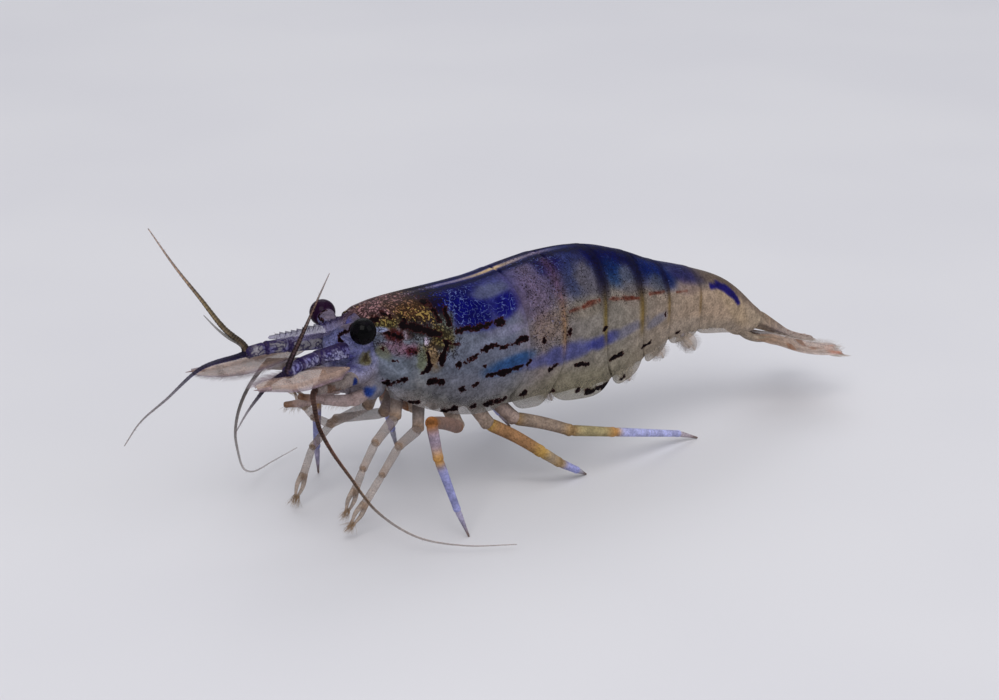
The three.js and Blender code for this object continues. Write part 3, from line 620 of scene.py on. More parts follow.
def station(points):
    """The station and height share of points, by halving the range of s."""
    x, z = points[:, 0], points[:, 2]
    low, high = np.zeros(len(x)), np.full(len(x), LENGTH)
    for _ in range(HALVINGS):
        s = (low + high) / 2
        share = (z - rib(EDGE_Z, s)) / (rib(BACK_Z, s) - rib(EDGE_Z, s))
        ahead = profile(s, share)[0] < x
        low, high = np.where(ahead, s, low), np.where(ahead, high, s)
    return s, np.clip(share, 0, 1)


def margin(stations, around):
    """The station of a plate's edge at shares round the flank."""
    back, hinge, edge = stations
    upper = back + (hinge - back) * (1 - np.cos(math.pi * around / WAIST)) / 2
    lower = hinge + (edge - hinge) * (np.maximum(around - WAIST, 0) / (1 - WAIST)) ** 2
    return np.where(around < WAIST, upper, lower)


# ---------------------------------------------------------------- the trunk's markings

# Pigment along the trunk: station, then low on the flank, half way up, and along the back.
TONES = (
    (0, (112, 112, 128), (92, 96, 112), (84, 66, 66)),
    (3, (112, 110, 110), (88, 92, 100), (92, 68, 66)),
    (4.8, (110, 108, 106), (86, 90, 104), (40, 36, 74)),
    (6, (108, 105, 104), (86, 90, 104), (12, 14, 78)),
    (9, (112, 108, 102), (90, 93, 110), (52, 54, 100)),
    (11, (122, 114, 104), (110, 100, 102), (86, 76, 98)),
    (14, (128, 120, 104), (112, 106, 102), (40, 46, 88)),
    (17, (130, 122, 106), (118, 111, 103), (22, 34, 84)),
    (20, (136, 124, 110), (130, 117, 106), (28, 40, 90)),
    (23, (142, 128, 114), (142, 124, 108), (58, 58, 78)),
    (26, (146, 132, 118), (150, 130, 112), (96, 84, 78)),
    (29.8, (150, 134, 122), (148, 132, 114), (120, 102, 88)),
)
# Soft patches: station and height share of the middle, reach in mm along and up, lean, colour, strength.
PATCHES = (
    (5.6, 0.92, 2.3, 0.85, 0, (5, 5, 70), 1),
    (6.4, 0.82, 1.5, 0.85, -0.25, (5, 6, 76), 1),
    (8.9, 0.83, 0.95, 0.6, 0, (8, 8, 86), 0.95),
    (8.2, 0.935, 1.3, 0.3, 0, (80, 84, 106), 0.8),
    (8.6, 0.66, 1.6, 0.3, 0, (110, 104, 132), 0.5),
    (7.3, 0.60, 1.7, 0.4, 0.3, (108, 112, 130), 0.5),
    (10.9, 0.78, 1.3, 1.3, 0, (90, 76, 100), 0.6),
    (11.4, 0.60, 1.3, 0.9, 0, (122, 102, 90), 0.55),
    (12.7, 0.97, 0.9, 0.55, 0, (8, 10, 64), 0.9),
    (17, 0.95, 2.5, 0.7, 0, (4, 7, 60), 0.95),
    (17.4, 0.84, 1.3, 0.8, -0.2, (18, 46, 88), 0.65),
    (20.5, 0.90, 1.5, 0.8, -0.3, (7, 24, 80), 0.9),
    (14.3, 0.83, 1.5, 1, 0, (46, 54, 88), 0.6),
    (14.9, 0.84, 0.9, 1.1, -0.1, (90, 84, 88), 0.75),
    (18, 0.82, 0.75, 0.9, -0.1, (88, 86, 94), 0.7),
    (20.5, 0.79, 0.85, 0.6, 0, (82, 84, 92), 0.7),
    (15.8, 0.80, 0.45, 1.7, 0, (24, 20, 36), 0.55),
    (18.8, 0.80, 0.4, 1.4, 0, (24, 24, 40), 0.55),
    (21.2, 0.82, 0.3, 1.1, 0, (26, 26, 44), 0.5),
    (23, 0.76, 0.9, 0.5, 0, (118, 100, 96), 0.6),
    (14.6, 0.66, 1.6, 0.7, 0, (120, 108, 92), 0.4),
    (18, 0.70, 1.3, 0.8, 0, (118, 104, 96), 0.4),
    (23.2, 0.92, 1.3, 0.5, 0, (24, 22, 70), 0.6),
    (8.7, 0.395, 1.8, 0.52, 0.15, (34, 64, 108), 0.9),
    (12.9, 0.375, 2.8, 0.6, 0.06, (60, 64, 118), 0.8),
    (15.6, 0.405, 1.2, 0.45, 0.15, (46, 50, 118), 0.75),
    (17.6, 0.43, 1.5, 0.4, 0.2, (84, 86, 118), 0.5),
    (20.3, 0.43, 1, 0.35, 0.2, (92, 94, 116), 0.55),
    (13.5, 0.13, 3.4, 0.9, 0, (122, 116, 96), 0.4),
    (1.9, 0.97, 2.2, 0.6, 0, (138, 102, 106), 0.85),
    (3.3, 0.90, 1.7, 0.55, 0, (112, 80, 44), 0.8),
    (1.2, 0.84, 1.1, 0.35, 0, (104, 96, 48), 0.8),
    (3, 0.77, 1.5, 0.5, -0.15, (30, 28, 28), 0.9),
    (1.5, 0.71, 0.75, 0.36, 0, (58, 18, 16), 0.95),
    (1.8, 0.57, 1.4, 0.42, 0.1, (112, 80, 96), 0.75),
    (2.4, 0.56, 0.5, 0.22, 0.1, (58, 16, 24), 0.85),
    (4.3, 0.70, 0.8, 0.9, -0.1, (98, 86, 46), 0.85),
    (4.75, 0.86, 0.7, 0.75, 0, (98, 106, 100), 0.8),
    (3.6, 0.54, 0.5, 0.9, -0.3, (110, 82, 48), 0.7),
    (3, 0.50, 0.4, 0.9, -0.2, (94, 98, 68), 0.6),
    (0.6, 0.46, 0.5, 0.4, 0, (104, 100, 60), 0.7),
    (1.2, 0.28, 1.2, 1.1, 0, (96, 106, 120), 0.5),
    (6.2, 0.24, 2.6, 1, 0, (96, 96, 110), 0.45),
    (0.7, 0.77, 0.45, 0.14, 0, (132, 140, 176), 0.9),
    (2.05, 0.71, 0.12, 0.3, 0.3, (150, 142, 160), 0.7),
    (3.3, 0.66, 0.18, 0.26, 0.2, (184, 170, 194), 0.85),
    (22.5, 0.2, 2, 0.6, 0, (150, 136, 124), 0.5),
    # The next two patches lighten the lower edge: partly its pale clear rim, and partly painted light, as
    # that edge faces down and gets less light.
    (4.2, 0, 3, 0.6, 0, (144, 136, 134), 0.7),
    (9.4, 0, 2.6, 0.4, 0, (138, 132, 128), 0.6),
    (5.2, 0.95, 1, 0.55, 0, (8, 10, 80), 0.9),
    (27.2, 0.55, 1.6, 0.8, -0.4, (150, 130, 106), 0.6),
    (26.4, 0.95, 2.4, 0.4, 0, (86, 72, 60), 0.6),
)
# Dark marks: station and height share of each end, then half width in mm.
MARKS = (
    (5.36, 0.725, 5.9, 0.735, 0.125), (5.9, 0.735, 6.7, 0.725, 0.112), (6.75, 0.74, 7.35, 0.725, 0.125),
    (7.3, 0.735, 8.44, 0.745, 0.14), (8, 0.72, 8.5, 0.725, 0.1), (2, 0.825, 2.9, 0.775, 0.24),
    (5.28, 0.44, 5.32, 0.45, 0.188), (5.66, 0.465, 6.35, 0.51, 0.138), (6.4, 0.515, 6.62, 0.53, 0.112),
    (6.8, 0.545, 7.1, 0.56, 0.15), (7.15, 0.57, 7.85, 0.57, 0.125), (8.15, 0.55, 8.5, 0.545, 0.15),
    (8.5, 0.55, 9.25, 0.55, 0.1), (9.2, 0.565, 9.6, 0.575, 0.088), (9.62, 0.575, 9.95, 0.56, 0.13),
    (5.68, 0.21, 5.86, 0.225, 0.237), (6.4, 0.26, 6.62, 0.28, 0.125), (7.25, 0.34, 7.6, 0.345, 0.1),
    (7.7, 0.345, 9.3, 0.36, 0.163), (8.2, 0.335, 8.9, 0.35, 0.163), (9.3, 0.365, 9.62, 0.36, 0.112),
    (9.95, 0.36, 10.2, 0.385, 0.112), (4.66, 0.015, 5.55, 0.05, 0.163), (6.52, 0.065, 6.75, 0.08, 0.138),
    (7.42, 0.085, 7.78, 0.1, 0.15), (8.12, 0.1, 8.7, 0.12, 0.125), (9.82, 0.12, 10.05, 0.135, 0.125),
    (0.92, 0.055, 1.05, 0.11, 0.138), (1.36, 0.15, 1.62, 0.18, 0.125), (1.66, 0.19, 2.04, 0.24, 0.163),
    (3.08, 0.36, 3.4, 0.375, 0.088), (3.56, 0.285, 4.34, 0.275, 0.213), (2.5, 0.015, 3.15, 0.045, 0.088),
    (2.6, 0.785, 3.6, 0.745, 0.25), (3.5, 0.76, 4.15, 0.72, 0.2), (1, 0.73, 1.8, 0.70, 0.12),
    (11.12, 0.51, 11.2, 0.515, 0.188), (13.06, 0.5, 13.1, 0.52, 0.15), (15.68, 0.49, 15.78, 0.495, 0.15),
    (20.9, 0.46, 21.02, 0.475, 0.15), (11.64, 0.27, 12.12, 0.3, 0.125), (13.62, 0.26, 14.6, 0.26, 0.138),
    (16.44, 0.245, 17.25, 0.26, 0.15), (19.2, 0.225, 19.75, 0.225, 0.125), (22.36, 0.15, 22.55, 0.16, 0.1),
    (14, 0.065, 14.1, 0.075, 0.112), (14.84, 0.045, 16.44, 0.05, 0.188), (17.6, 0.04, 17.8, 0.045, 0.1),
    (1.2, 0.4, 1.45, 0.42, 0.062), (6.9, 0.42, 7.05, 0.42, 0.05), (12.2, 0.08, 12.35, 0.09, 0.075),
    (4.5, 0.64, 4.12, 0.47, 0.19), (4.6, 0.64, 5.3, 0.62, 0.1), (3.35, 0.55, 3.45, 0.43, 0.1),
    (3.45, 0.43, 3.12, 0.35, 0.15), (4.2, 0.94, 4.35, 0.82, 0.13), (4.95, 0.9, 4.9, 0.78, 0.12),
    (3.9, 0.965, 4.2, 0.955, 0.14), (2.2, 0.565, 2.6, 0.545, 0.07), (0.2, 0.88, 0.75, 0.9, 0.12),
    (1.2, 0.93, 1.5, 0.9, 0.09), (0.55, 0.5, 0.68, 0.52, 0.1),
)
# The dark joint behind each plate, with painted shade between the plates near the back: half width in mm,
# colour near the back and half way down, strength.
JOINTS_AND_SHADE = (
    (0.10, (60, 54, 104), (116, 110, 130), 0.4),
    (0.26, (84, 60, 80), (134, 100, 70), 0.7),
    (0.19, (12, 12, 42), (100, 84, 46), 0.9),
    (0.25, (16, 16, 42), (104, 84, 46), 0.9),
    (0.16, (14, 16, 50), (100, 80, 50), 0.8),
    (0.12, (52, 46, 56), (108, 84, 52), 0.7),
)
# Fine red-brown lines of loose colour cells, as the dark marks are given.
LINES = (
    (13.16, 0.655, 15.2, 0.685, 0.11), (14.5, 0.68, 15.3, 0.69, 0.14), (16.2, 0.685, 18.6, 0.665, 0.1),
    (17.2, 0.68, 18.2, 0.67, 0.12), (19.6, 0.69, 20.9, 0.71, 0.09), (22, 0.70, 22.9, 0.71, 0.06),
)
MARK_REACH = 0.5  # mm over which the ink field falls from full to none
SIX_MARK = (
    (25.1, 0.80, 0.12), (25.7, 0.835, 0.19), (26.3, 0.82, 0.24), (26.9, 0.76, 0.16), (27.35, 0.67, 0.1),
)
CREAM_LINE = (2.8, 14.8)  # stations between which a pale line runs along the back


def height(s):
    """The trunk's height at station s, in mm."""
    return np.hypot(rib(BACK_Z, s) - rib(EDGE_Z, s), rib(BACK_X, s) - rib(EDGE_X, s))


def mark_distance(s, share, mark):
    """Distance in mm on the flank to a mark's middle line."""
    s0, share0, s1, share1 = mark[:4]
    tall = height(np.asarray((s0 + s1) / 2))
    run = np.array((s1 - s0, (share1 - share0) * tall))
    dx, dz = s - s0, (share - share0) * tall
    t = np.clip((dx * run[0] + dz * run[1]) / max(run @ run, 1e-6), 0, 1)
    return np.hypot(dx - t * run[0], dz - t * run[1])


def side_marks(marks, seed):
    """The right side's marks: the left's, each moved a little, as no two flanks are alike."""
    shake = np.random.default_rng(seed)
    moved = []
    for s0, share0, s1, share1, width in marks:
        ds, dshare = shake.normal(0, 0.14), shake.normal(0, 0.006)
        stretch = shake.uniform(-0.12, 0.12)
        moved.append((s0 + ds - stretch, share0 + dshare, s1 + ds + stretch, share1 + dshare, width))
    return tuple(moved)


FLANK_MARKS = {-1: (MARKS, LINES), 1: (side_marks(MARKS, 3), side_marks(LINES, 4))}


def depth(marks, s, share, uneven=1.0):
    """How far in mm points lie inside the nearest of some marks; below 0 outside them all."""
    deepest = np.full(len(s), -9.0)
    for mark in marks:
        deepest = np.maximum(deepest, mark[4] * uneven - mark_distance(s, share, mark))
    return deepest


def joint_lines_and_shade(s, share, wave):
    """Colour and strength of the lines along the plates' rear edges: the joints' own dark colour, widened
    near the back into painted shade between the plates.
    """
    around = around_at(share)
    low = 1 - smooth(share, 0.6, 0.86)
    colour, strength = np.zeros((len(s), 3)), np.zeros(len(s))
    for (_, stations, _), (half, upper, lower, force) in zip(PLATES, JOINTS_AND_SHADE):
        # Near the back the lines widen into painted shade between the plates.
        wide = half * (0.9 + 0.9 * smooth(share, 0.62, 0.9))
        near = bell((s - margin(stations, around) + 0.1 * wave + 0.1) / wide, 0, 1) * force
        closer = near > strength
        colour[closer] = blend(upper, lower, low[closer])
        strength = np.maximum(strength, near)
    return colour, strength * smooth(share, 0.28, 0.5)


def ground(s, share, wave, grit, face):
    """The pigment along the trunk with the soft patches over it."""
    low, mid, top = (sample(s, [row[0] for row in TONES], [row[k] for row in TONES]) for k in (1, 2, 3))
    climb = share + wave * 0.05 + grit * 0.02
    colour = blend(blend(low, mid, smooth(climb, 0.08, 0.42)), top, smooth(climb, 0.68, 0.9))
    tall = height(s)
    for s0, share0, reach, rise, lean, tone, strength in PATCHES:
        up = ((share - share0) * tall - lean * (s - s0)) / rise
        far = np.hypot((s - s0) / reach, up) + wave * 0.35 + grit * (0.12 + 0.35 * face)
        colour = blend(colour, tone, smooth(-far, -1.35, -0.55) * strength)
    return colour * (1 + 0.22 * grit * face + 0.07 * grit)[:, None]


def back_line(middle, s, wave):
    """How much of the pale line on the back shows, at a distance from the middle."""
    start, end = CREAM_LINE
    line = smooth(-middle + 0.05 * wave, -0.25, -0.1) * smooth(s, start, start + 1.0)
    return line * (1 - smooth(s, end - 2.5, end))


def drawn(points, s, share, side):
    """The field of the dark marks, one half at their edges, and the strength of the fine lines."""
    uneven = 0.88 + 0.75 * noise(points, 0.32, 6)
    ink, line = np.zeros(len(s)), np.zeros(len(s))
    for which, (marks, lines) in FLANK_MARKS.items():
        here = side == which
        ink[here] = depth(marks, s[here], share[here], uneven[here])
        line[here] = depth(lines, s[here], share[here], uneven[here])
    return np.clip(0.5 + ink / MARK_REACH, 0, 1), smooth(line, -0.07, 0.05)


def cell_density(s, share, wave, face, navy):
    """How densely dots, dark veins, pale veins and gold flecks lie."""
    crown = (1 - smooth(s + wave, 4.4, 5.6)) * smooth(share, 0.79, 0.84)
    olive = bell(s, 4.2, 0.9) * smooth(share, 0.5, 0.6)
    first = smooth(s, 9.8, 10.6) * (1 - smooth(s, 12.6, 14.0)) * smooth(share, 0.3, 0.5)
    upper = smooth(s, 12.5, 14) * (1 - smooth(s, 21, 23)) * smooth(share, 0.5, 0.7)
    cheek = face * smooth(share, 0.42, 0.52) * (1 - crown)
    dots = 0.2 + 0.3 * crown + 0.12 * first + 0.1 * upper
    veins = 1.5 * crown + 0.9 * olive + 0.6 * cheek + 0.55 * first + 0.45 * upper
    pale = 0.9 * navy * (1 - crown) * (1 - 0.7 * upper) + 0.6 * first + 0.25 * upper + 0.5 * cheek
    gold = crown * (0.85 - 0.5 * smooth(share, 0.92, 0.97)) * (1 - 0.8 * smooth(s, 3.5, 4.5))
    return dots, veins, pale, gold + 0.45 * olive + 0.25 * cheek


def livery(points, s, share, side, opacity):
    """The trunk's colours, as Part.paint takes them, for points on it."""
    wave = noise(points, 1.4, 1) * 0.5 + noise(points, 0.5, 2) * 0.3
    grit = noise(points, 0.34, 9) * 0.6 + noise(points, 0.17, 10) * 0.4
    face = 1 - smooth(s, 4.6, 6.5)
    colour = ground(s, share, wave, grit, face)
    # The joint lines carry the joints' dark colour and painted shade between the plates.
    joint_and_shade_tone, joint = joint_lines_and_shade(s, share, wave)
    colour = blend(colour, joint_and_shade_tone, joint)

    # The pale line on the back, dark on both sides, and the curved mark on the sixth somite.
    middle = np.abs(points[:, 1])
    cream = back_line(middle, s, wave)
    outline = bell(middle, 0.5, 0.28) * smooth(s, 3.0, 5) * (1 - smooth(s, 20, 24))
    colour = blend(colour, (5, 6, 44), outline * 0.95)
    colour = blend(colour, (132, 124, 146), cream * (0.75 + 0.25 * wave))
    colour = blend(colour, (190, 160, 112), cream * bell(s, 9.4, 1.6) * 0.8)
    bends = [(*first[:2], *second[:2], first[2]) for first, second in zip(SIX_MARK, SIX_MARK[1:])]
    six = smooth(depth(bends, s, share) + 0.08 * grit, -0.14, 0.08)
    colour = blend(colour, (20, 16, 84), six * 0.95)

    ink, line = drawn(points, s, share, side)
    colour = blend(colour, (84, 34, 24), line * np.clip(0.6 + 0.7 * grit, 0, 1))
    navy = smooth(64 - colour[:, 0], 10, 40) * smooth(colour[:, 2], 50, 70)
    dots, veins, pale, gold = cell_density(s, share, wave, face, navy)
    veil = opacity + (1 - opacity) * 0.8 * np.clip(navy + joint + cream + six * 0.8, 0, 1)
    return colour, veil, dots, veins, pale * (1 - six), gold, ink


# ---------------------------------------------------------------- plates and the skin under them

PITCH = 0.085  # mm between the points of a plate
GIRTH = 9.8  # mm from the middle of the back to a plate's lower edge
PLATE = 0.09  # mm, how thick a plate is
HIDDEN = 0.5  # mm of each somite that slides under the plate before it
SUNK = 0.16  # mm, how deep the hidden strip lies


def plate(front, rear, lift, hidden):
    """One shell plate over back and flanks; front and rear give its edges' stations."""
    count = int(GIRTH / PITCH)
    turn = np.linspace(-1, 1, 2 * count + 1)[None]
    around = np.abs(turn)
    ahead, behind = front(around), rear(around)
    rows = int((behind - ahead).max() / PITCH) + 8
    s = ahead - hidden + np.linspace(0, 1, rows)[:, None] * (behind - ahead + hidden)
    t = np.clip((s - ahead) / (behind - ahead), 0, 1)
    width, share = flank(s, around)
    corner = lift * np.abs(2 * t - 1) ** 4 / height(s)
    share = share + corner * np.maximum(0, 1 - share / WIDEST) ** 2
    points = on_rib(s, np.sign(turn) * width, share)
    normal = unit(np.cross(np.gradient(points, axis=0), np.gradient(points, axis=1)))

    # The hidden strip is sunk, the margins stand out a little, and the carapace dips at the rostrum.
    swell = -SUNK * (1 - smooth(s - ahead, -0.1, 0.2)) if hidden else np.zeros_like(s)
    swell = swell + 0.02 * smooth(s - behind, -0.6, -0.05) + 0.03 * smooth(around, 0.9, 1.0)
    if not hidden:
        swell = swell - 0.2 * (1 - smooth(s - ahead, 0.0, 0.5)) * (1 - smooth(around, 0.1, 0.35))
    swell = swell + 0.012 * noise(points, 1.1, 5).reshape(s.shape)
    outer = points + normal * swell[..., None]
    thin = np.maximum(0.5 * smooth(around, 0.94, 1.0), 0.5 * smooth(s - behind, -0.25, 0.0))
    inner = outer - normal * (PLATE * (1 - thin))[..., None]
    side = np.tile(np.broadcast_to(np.sign(turn), s.shape).ravel(), 2)
    part = sheet(outer, inner, s, np.broadcast_to(share, s.shape))
    opacity = 0.5 + 0.5 * smooth(part.around, 0.0, 0.32)
    return part.paint(*livery(part.points, part.along, part.around, np.where(side > 0, 1, -1), opacity))


def shell_plates():
    """The carapace and the six somites, each a thin plate that overlaps the next."""
    front = lambda around: margin(ORBIT, around)
    extras, hidden, least = carapace_spines(), 0, SOMITE_FRONT
    for name, stations, lift in PLATES:
        rear = lambda around: margin(stations, around)
        piece(f"{name}_plate", [plate(front, rear, lift, hidden)] + extras, SHELL, [name])
        front = lambda around, s=stations, least=least: np.maximum(margin(s, around), least) + GAP
        extras, hidden, least = [], HIDDEN, 0


def carapace_spines():
    """The small spines on the carapace's front edge, below each eye and at the lower corner."""
    spines = []
    for _, side in SIDES:
        for around, length, width in ((0.40, 0.75, 0.14), (0.93, 0.4, 0.1)):
            s = margin(ORBIT, np.asarray(around)) + 0.12
            half, share = flank(s, np.asarray(around))
            root = on_rib(s, side * half, share) + (0, -side * 0.05, 0)
            path = curve([root + (0.35, 0, 0), root, root + (-length, side * 0.12, 0.02)], 14)
            part = tube(path, width * (1 - np.linspace(0, 0.93, 14)), 10, dome=0.3)
            spines.append(part.paint((104, 96, 112), 0.9, 0.3))
    return spines


def trunk_flesh():
    """The body under the plates: sections inside them, closed across the belly."""
    rows, flank_count, belly_count = 190, 44, 26
    s = np.linspace(0.7, LENGTH - 0.45, rows)[:, None]
    turn = np.linspace(-1, 1, 2 * flank_count + 1)[None]
    width, share = flank(s, np.abs(turn))
    inset = 1 - 0.24 / rib(HALF, s)
    upper = on_rib(s, np.sign(turn) * width * inset, 0.05 + 0.925 * share)
    across = np.linspace(1, -1, belly_count + 2)[None, 1:-1]
    edge_width = (rib(HALF, s) * (1 - TUCK)) * inset
    arch = 0.05 + rib(BELLY, s) * (1 - np.abs(across) ** 2.4)
    rings = np.concatenate([upper, on_rib(s, across * edge_width, arch)], axis=1)
    return loft(rings, [rings[0].mean(0), rings[-1].mean(0)], s[:, 0], np.zeros(rings.shape[1]))


HEAD_BALLS = (  # centre and radii; those off the middle are mirrored
    ((-10.45, 0, 10.5), (1.6, 1.45, 1.25)),
    ((-10.3, 0, 9.1), (1.55, 1.75, 1.15)),
    ((-9.2, 0, 10), (1.6, 1.9, 2.1)),
    ((-10, 0, 11.3), (1, 1.15, 0.93)),
    ((-10.9, 0.95, 10.45), (0.75, 0.62, 0.6)),
    ((-10.9, 1.5, 9.1), (0.85, 0.62, 0.6)),
    ((-10.5, 0.5, 8), (0.7, 0.5, 0.7)),
    ((-10.9, 0, 8.6), (0.8, 0.42, 0.45)),
    ((-9.6, 0.9, 7.9), (0.9, 0.6, 0.75)),
)
COXA_ROOTS = ((-7.9, 1.0, 7.3), (-6.6, 1.2, 6.8), (-5.0, 1.4, 6.4), (-3.4, 1.4, 6.2), (-1.9, 1.3, 6.0))
PLEOPOD_ROOTS = ((1.5, 7.4), (4.4, 7.3), (7.4, 7.4), (10.0, 7.8), (12.5, 7.8))
VOXEL = 0.1  # mm


def fused(parts, relax):
    """Closed parts joined into one surface with no seam, then relaxed a few times."""
    mesh = bpy.data.meshes.new("fused")
    points, faces, start = [], [], 0
    for part in parts:
        points.append(part.points)
        faces += (triangles(part.faces) + start).tolist()
        start += len(part.points)
    mesh.from_pydata(np.vstack(points).tolist(), [], faces)
    block = placed("fused", mesh)
    remesh = block.modifiers.new("voxels", "REMESH")
    remesh.mode = "VOXEL"
    remesh.voxel_size = VOXEL
    result = bpy.data.meshes.new_from_object(block.evaluated_get(bpy.context.evaluated_depsgraph_get()))
    place = read(result.vertices, "co", 3, np.float32).astype(float)
    first, second = read(result.edges, "vertices", 2, np.int32).T
    result.calc_loop_triangles()
    corners = read(result.loop_triangles, "vertices", 3, np.int32)
    for _ in range(relax):
        near = np.zeros_like(place)
        count = np.zeros(len(place))
        for one, other in ((first, second), (second, first)):
            np.add.at(near, one, place[other])
            np.add.at(count, one, 1)
        place = place * 0.5 + near / count[:, None] * 0.5
    bpy.data.objects.remove(block)
    bpy.data.meshes.remove(mesh)
    bpy.data.meshes.remove(result)
    return Part(place, [corners])


EYESTALK = ((-11.2, 0.5, 11.4), (-10.98, 1.6, 11.66))
BLUE_SPOTS = (((-11.35, 1.8, 8.7), 0.42), ((-11.5, 2.15, 8.85), 0.32), ((-10.1, 1.45, 7.9), 0.48))
CHEEK_SPOT = (-10.4, 1.5, 9.85)
FACE_MARK = ((-11.1, 1.45, 12.15), (-11.5, 1.58, 11.79), (-11.54, 1.03, 11.58), (-11.58, 0.67, 11.2),
             (-11.51, 0.96, 10.91))


def spotted(points, tone):
    """Adds the vivid blue spots of the cheek to colours at points on either side."""
    for spot, size in BLUE_SPOTS:
        far = np.linalg.norm(folded(points) - spot, axis=1) + 0.2 * noise(points, 0.3, 17)
        tone = blend(tone, (16, 44, 122), smooth(-far, -size, -size * 0.4) * 0.9)
    return tone


def face_colours(part):
    """Gives the skin in front of the carapace the head's own colours."""
    points = part.points
    ahead = smooth(-points[:, 0], 9.3, 10.2)
    cloud = noise(points, 0.55, 8) + 0.5 * noise(points, 0.2, 18)
    cheek = np.linalg.norm(folded(points) - CHEEK_SPOT, axis=1) + 0.35 * cloud
    tone = (104, 106, 148) + 20 * cloud[:, None]
    for over, share in (
        ((150, 146, 176), smooth(cloud, 0.25, 0.7) * 0.7),
        ((66, 64, 122), smooth(-cloud, 0.2, 0.7) * 0.7),
        ((128, 120, 126), smooth(9.6 - points[:, 2], -0.5, 1.2)),
        ((92, 80, 90), smooth(points[:, 2] + 0.3 * cloud, 11.5, 12.0) * 0.8),
        ((112, 104, 62), smooth(-cheek, -0.6, -0.15) * 0.85),
        ((50, 40, 34), smooth(-cheek, -0.3, 0.0) * 0.8),
    ):
        tone = blend(tone, over, share)
    far = np.min([np.linalg.norm(folded(points) - place, axis=1) for place in curve(FACE_MARK, 40)], axis=0)
    part.pigment[:, :3] = blend(part.pigment[:, :3], spotted(points, tone), ahead)
    part.cells = blend(part.cells, (0.25, 0.35, 0.4, 0.0), ahead)
    part.ink = np.maximum(part.ink * (1 - ahead), np.clip(0.5 + (0.10 - far) / MARK_REACH, 0, 1))


def skin():
    """The one skin: trunk, head, eyestalks and the roots of the limbs."""
    parts = [trunk_flesh()]
    for centre, radii in HEAD_BALLS:
        for _, side in SIDES if centre[1] else SIDES[:1]:
            parts.append(ball(mirrored(centre, side), radii))
    for _, side in SIDES:
        parts.append(horn(mirrored(EYESTALK, side), 0.4, 0.55, 16, 20, across=(1, 0, 0)))
        for root in COXA_ROOTS:
            root = mirrored(root, side)
            ends = [root + (0, -side * 0.3, 0.9), root + (0, side * 0.1, -0.3)]
            parts.append(horn(ends, 0.62, 0.5, 8, 16, across=(1, 0, 0)))
        for x, z in PLEOPOD_ROOTS:
            parts.append(ball((x, side * 1.2, z - 0.1), (0.5, 0.45, 0.45), 14, 20))
    body = fused(parts, 3)
    s, share = station(body.points)
    body.paint(*livery(body.points, s, share, np.where(body.points[:, 1] > 0, 1, -1), 1.0))
    face_colours(body)
    piece("skin", [body], SKIN, ["head", "eyestalk_left", "eyestalk_right"])


# ---------------------------------------------------------------- head parts


EYESTALK_WAY = (-0.16, 0.95, -0.26)  # from the left eye's centre towards its stalk
EYE_TONES = {-1: (2, 2, 3), 1: (30, 6, 34)}  # the far eye looks purple in the photo


def eyes():
    """The two compound eyes, pale on the side of the stalk."""
    for name, side in SIDES:
        centre = mirrored((EYE_CENTRE[0], -EYE_CENTRE[1], EYE_CENTRE[2]), side)
        part = ball(centre, (EYE_RADIUS, EYE_RADIUS * 0.94, EYE_RADIUS), 44, 60)
        inward = unit(part.points - centre) @ unit(mirrored(EYESTALK_WAY, -side))
        part.paint(blend(EYE_TONES[side], (116, 110, 142), smooth(inward, 0.62, 0.8)))
        piece(f"eye_{name}_cornea", [part], EYE, [f"eye_{name}"])


ROSTRUM_TOP = ((-15.7, 11.92), (-13.8, 11.85), (-11.0, 12.1), (-9.6, 12.56), (-8.3, 12.46))
ROSTRUM_BOTTOM = ((-15.7, 11.7), (-12.6, 11.15), (-10.6, 11.4), (-8.6, 12.0))
ROSTRUM_TEETH = 20
ROSTRUM_UNDER_TEETH = 14  # in its whole length, of which only the front third has any
ROSTRUM_HALF = 0.22


def sawtooth(t, count):
    """Teeth along a blade: 1 at the front of each, 0 at its back."""
    place = t * count
    return (1 - (place - np.floor(place))) ** 1.3


def rostrum():
    """The blade between the eyes, toothed above and a little below."""
    rows, sides = 260, 28
    t = np.linspace(0, 1, rows)
    top = curve([(x, 0, z) for x, z in ROSTRUM_TOP], rows)
    bottom = curve([(x, 0, z) for x, z in ROSTRUM_BOTTOM], rows)
    tooth = sawtooth(t, ROSTRUM_TEETH) * smooth(t, 0.02, 0.1) * (1 - 0.95 * smooth(t, 0.55, 0.85))
    fang = sawtooth(t, ROSTRUM_UNDER_TEETH) * smooth(t, 0.04, 0.08) * (1 - smooth(t, 0.32, 0.36))
    angle = np.linspace(0, 2 * math.pi, sides, endpoint=False)
    lift = (np.sin(angle) + 1) / 2
    high = top + np.array((-0.10, 0, 0.13)) * tooth[:, None]
    low = bottom - np.array((0.08, 0, 0.12)) * fang[:, None]
    points = low[:, None] + (high - low)[:, None] * lift[None, :, None]
    half = ROSTRUM_HALF * (0.25 + 0.75 * smooth(t, 0, 0.6))
    keel = 0.55 * np.abs(np.cos(angle)) ** 0.7 + 0.75 * bell(lift, 0.42, 0.12)
    points[..., 1] = half[:, None] * np.sign(np.cos(angle)) * keel * (np.abs(np.cos(angle)) > 1e-6)
    part = loft(points, [points[0].mean(0) - (0.12, 0, 0), points[-1].mean(0)], t, lift, 0.5)
    root = smooth(part.along, 0.55, 0.8)
    tone = blend(blend((118, 112, 142), (38, 30, 70), smooth(part.around, 0.7, 0.95)), (104, 78, 74), root)
    part.paint(tone, 0.5 + 0.45 * root, 0.3, 0.15 + 0.8 * root, 0.0, 0.5 * root)
    gaps = (np.arange(1, ROSTRUM_TEETH) + 0.35) / ROSTRUM_TEETH
    hairs = bristles(sample(gaps, t, top), (-0.8, 0, 0.5), 0.3, 0.014).paint((150, 140, 140))
    piece("rostrum_blade", [part, hairs], CLEAR, ["rostrum"])


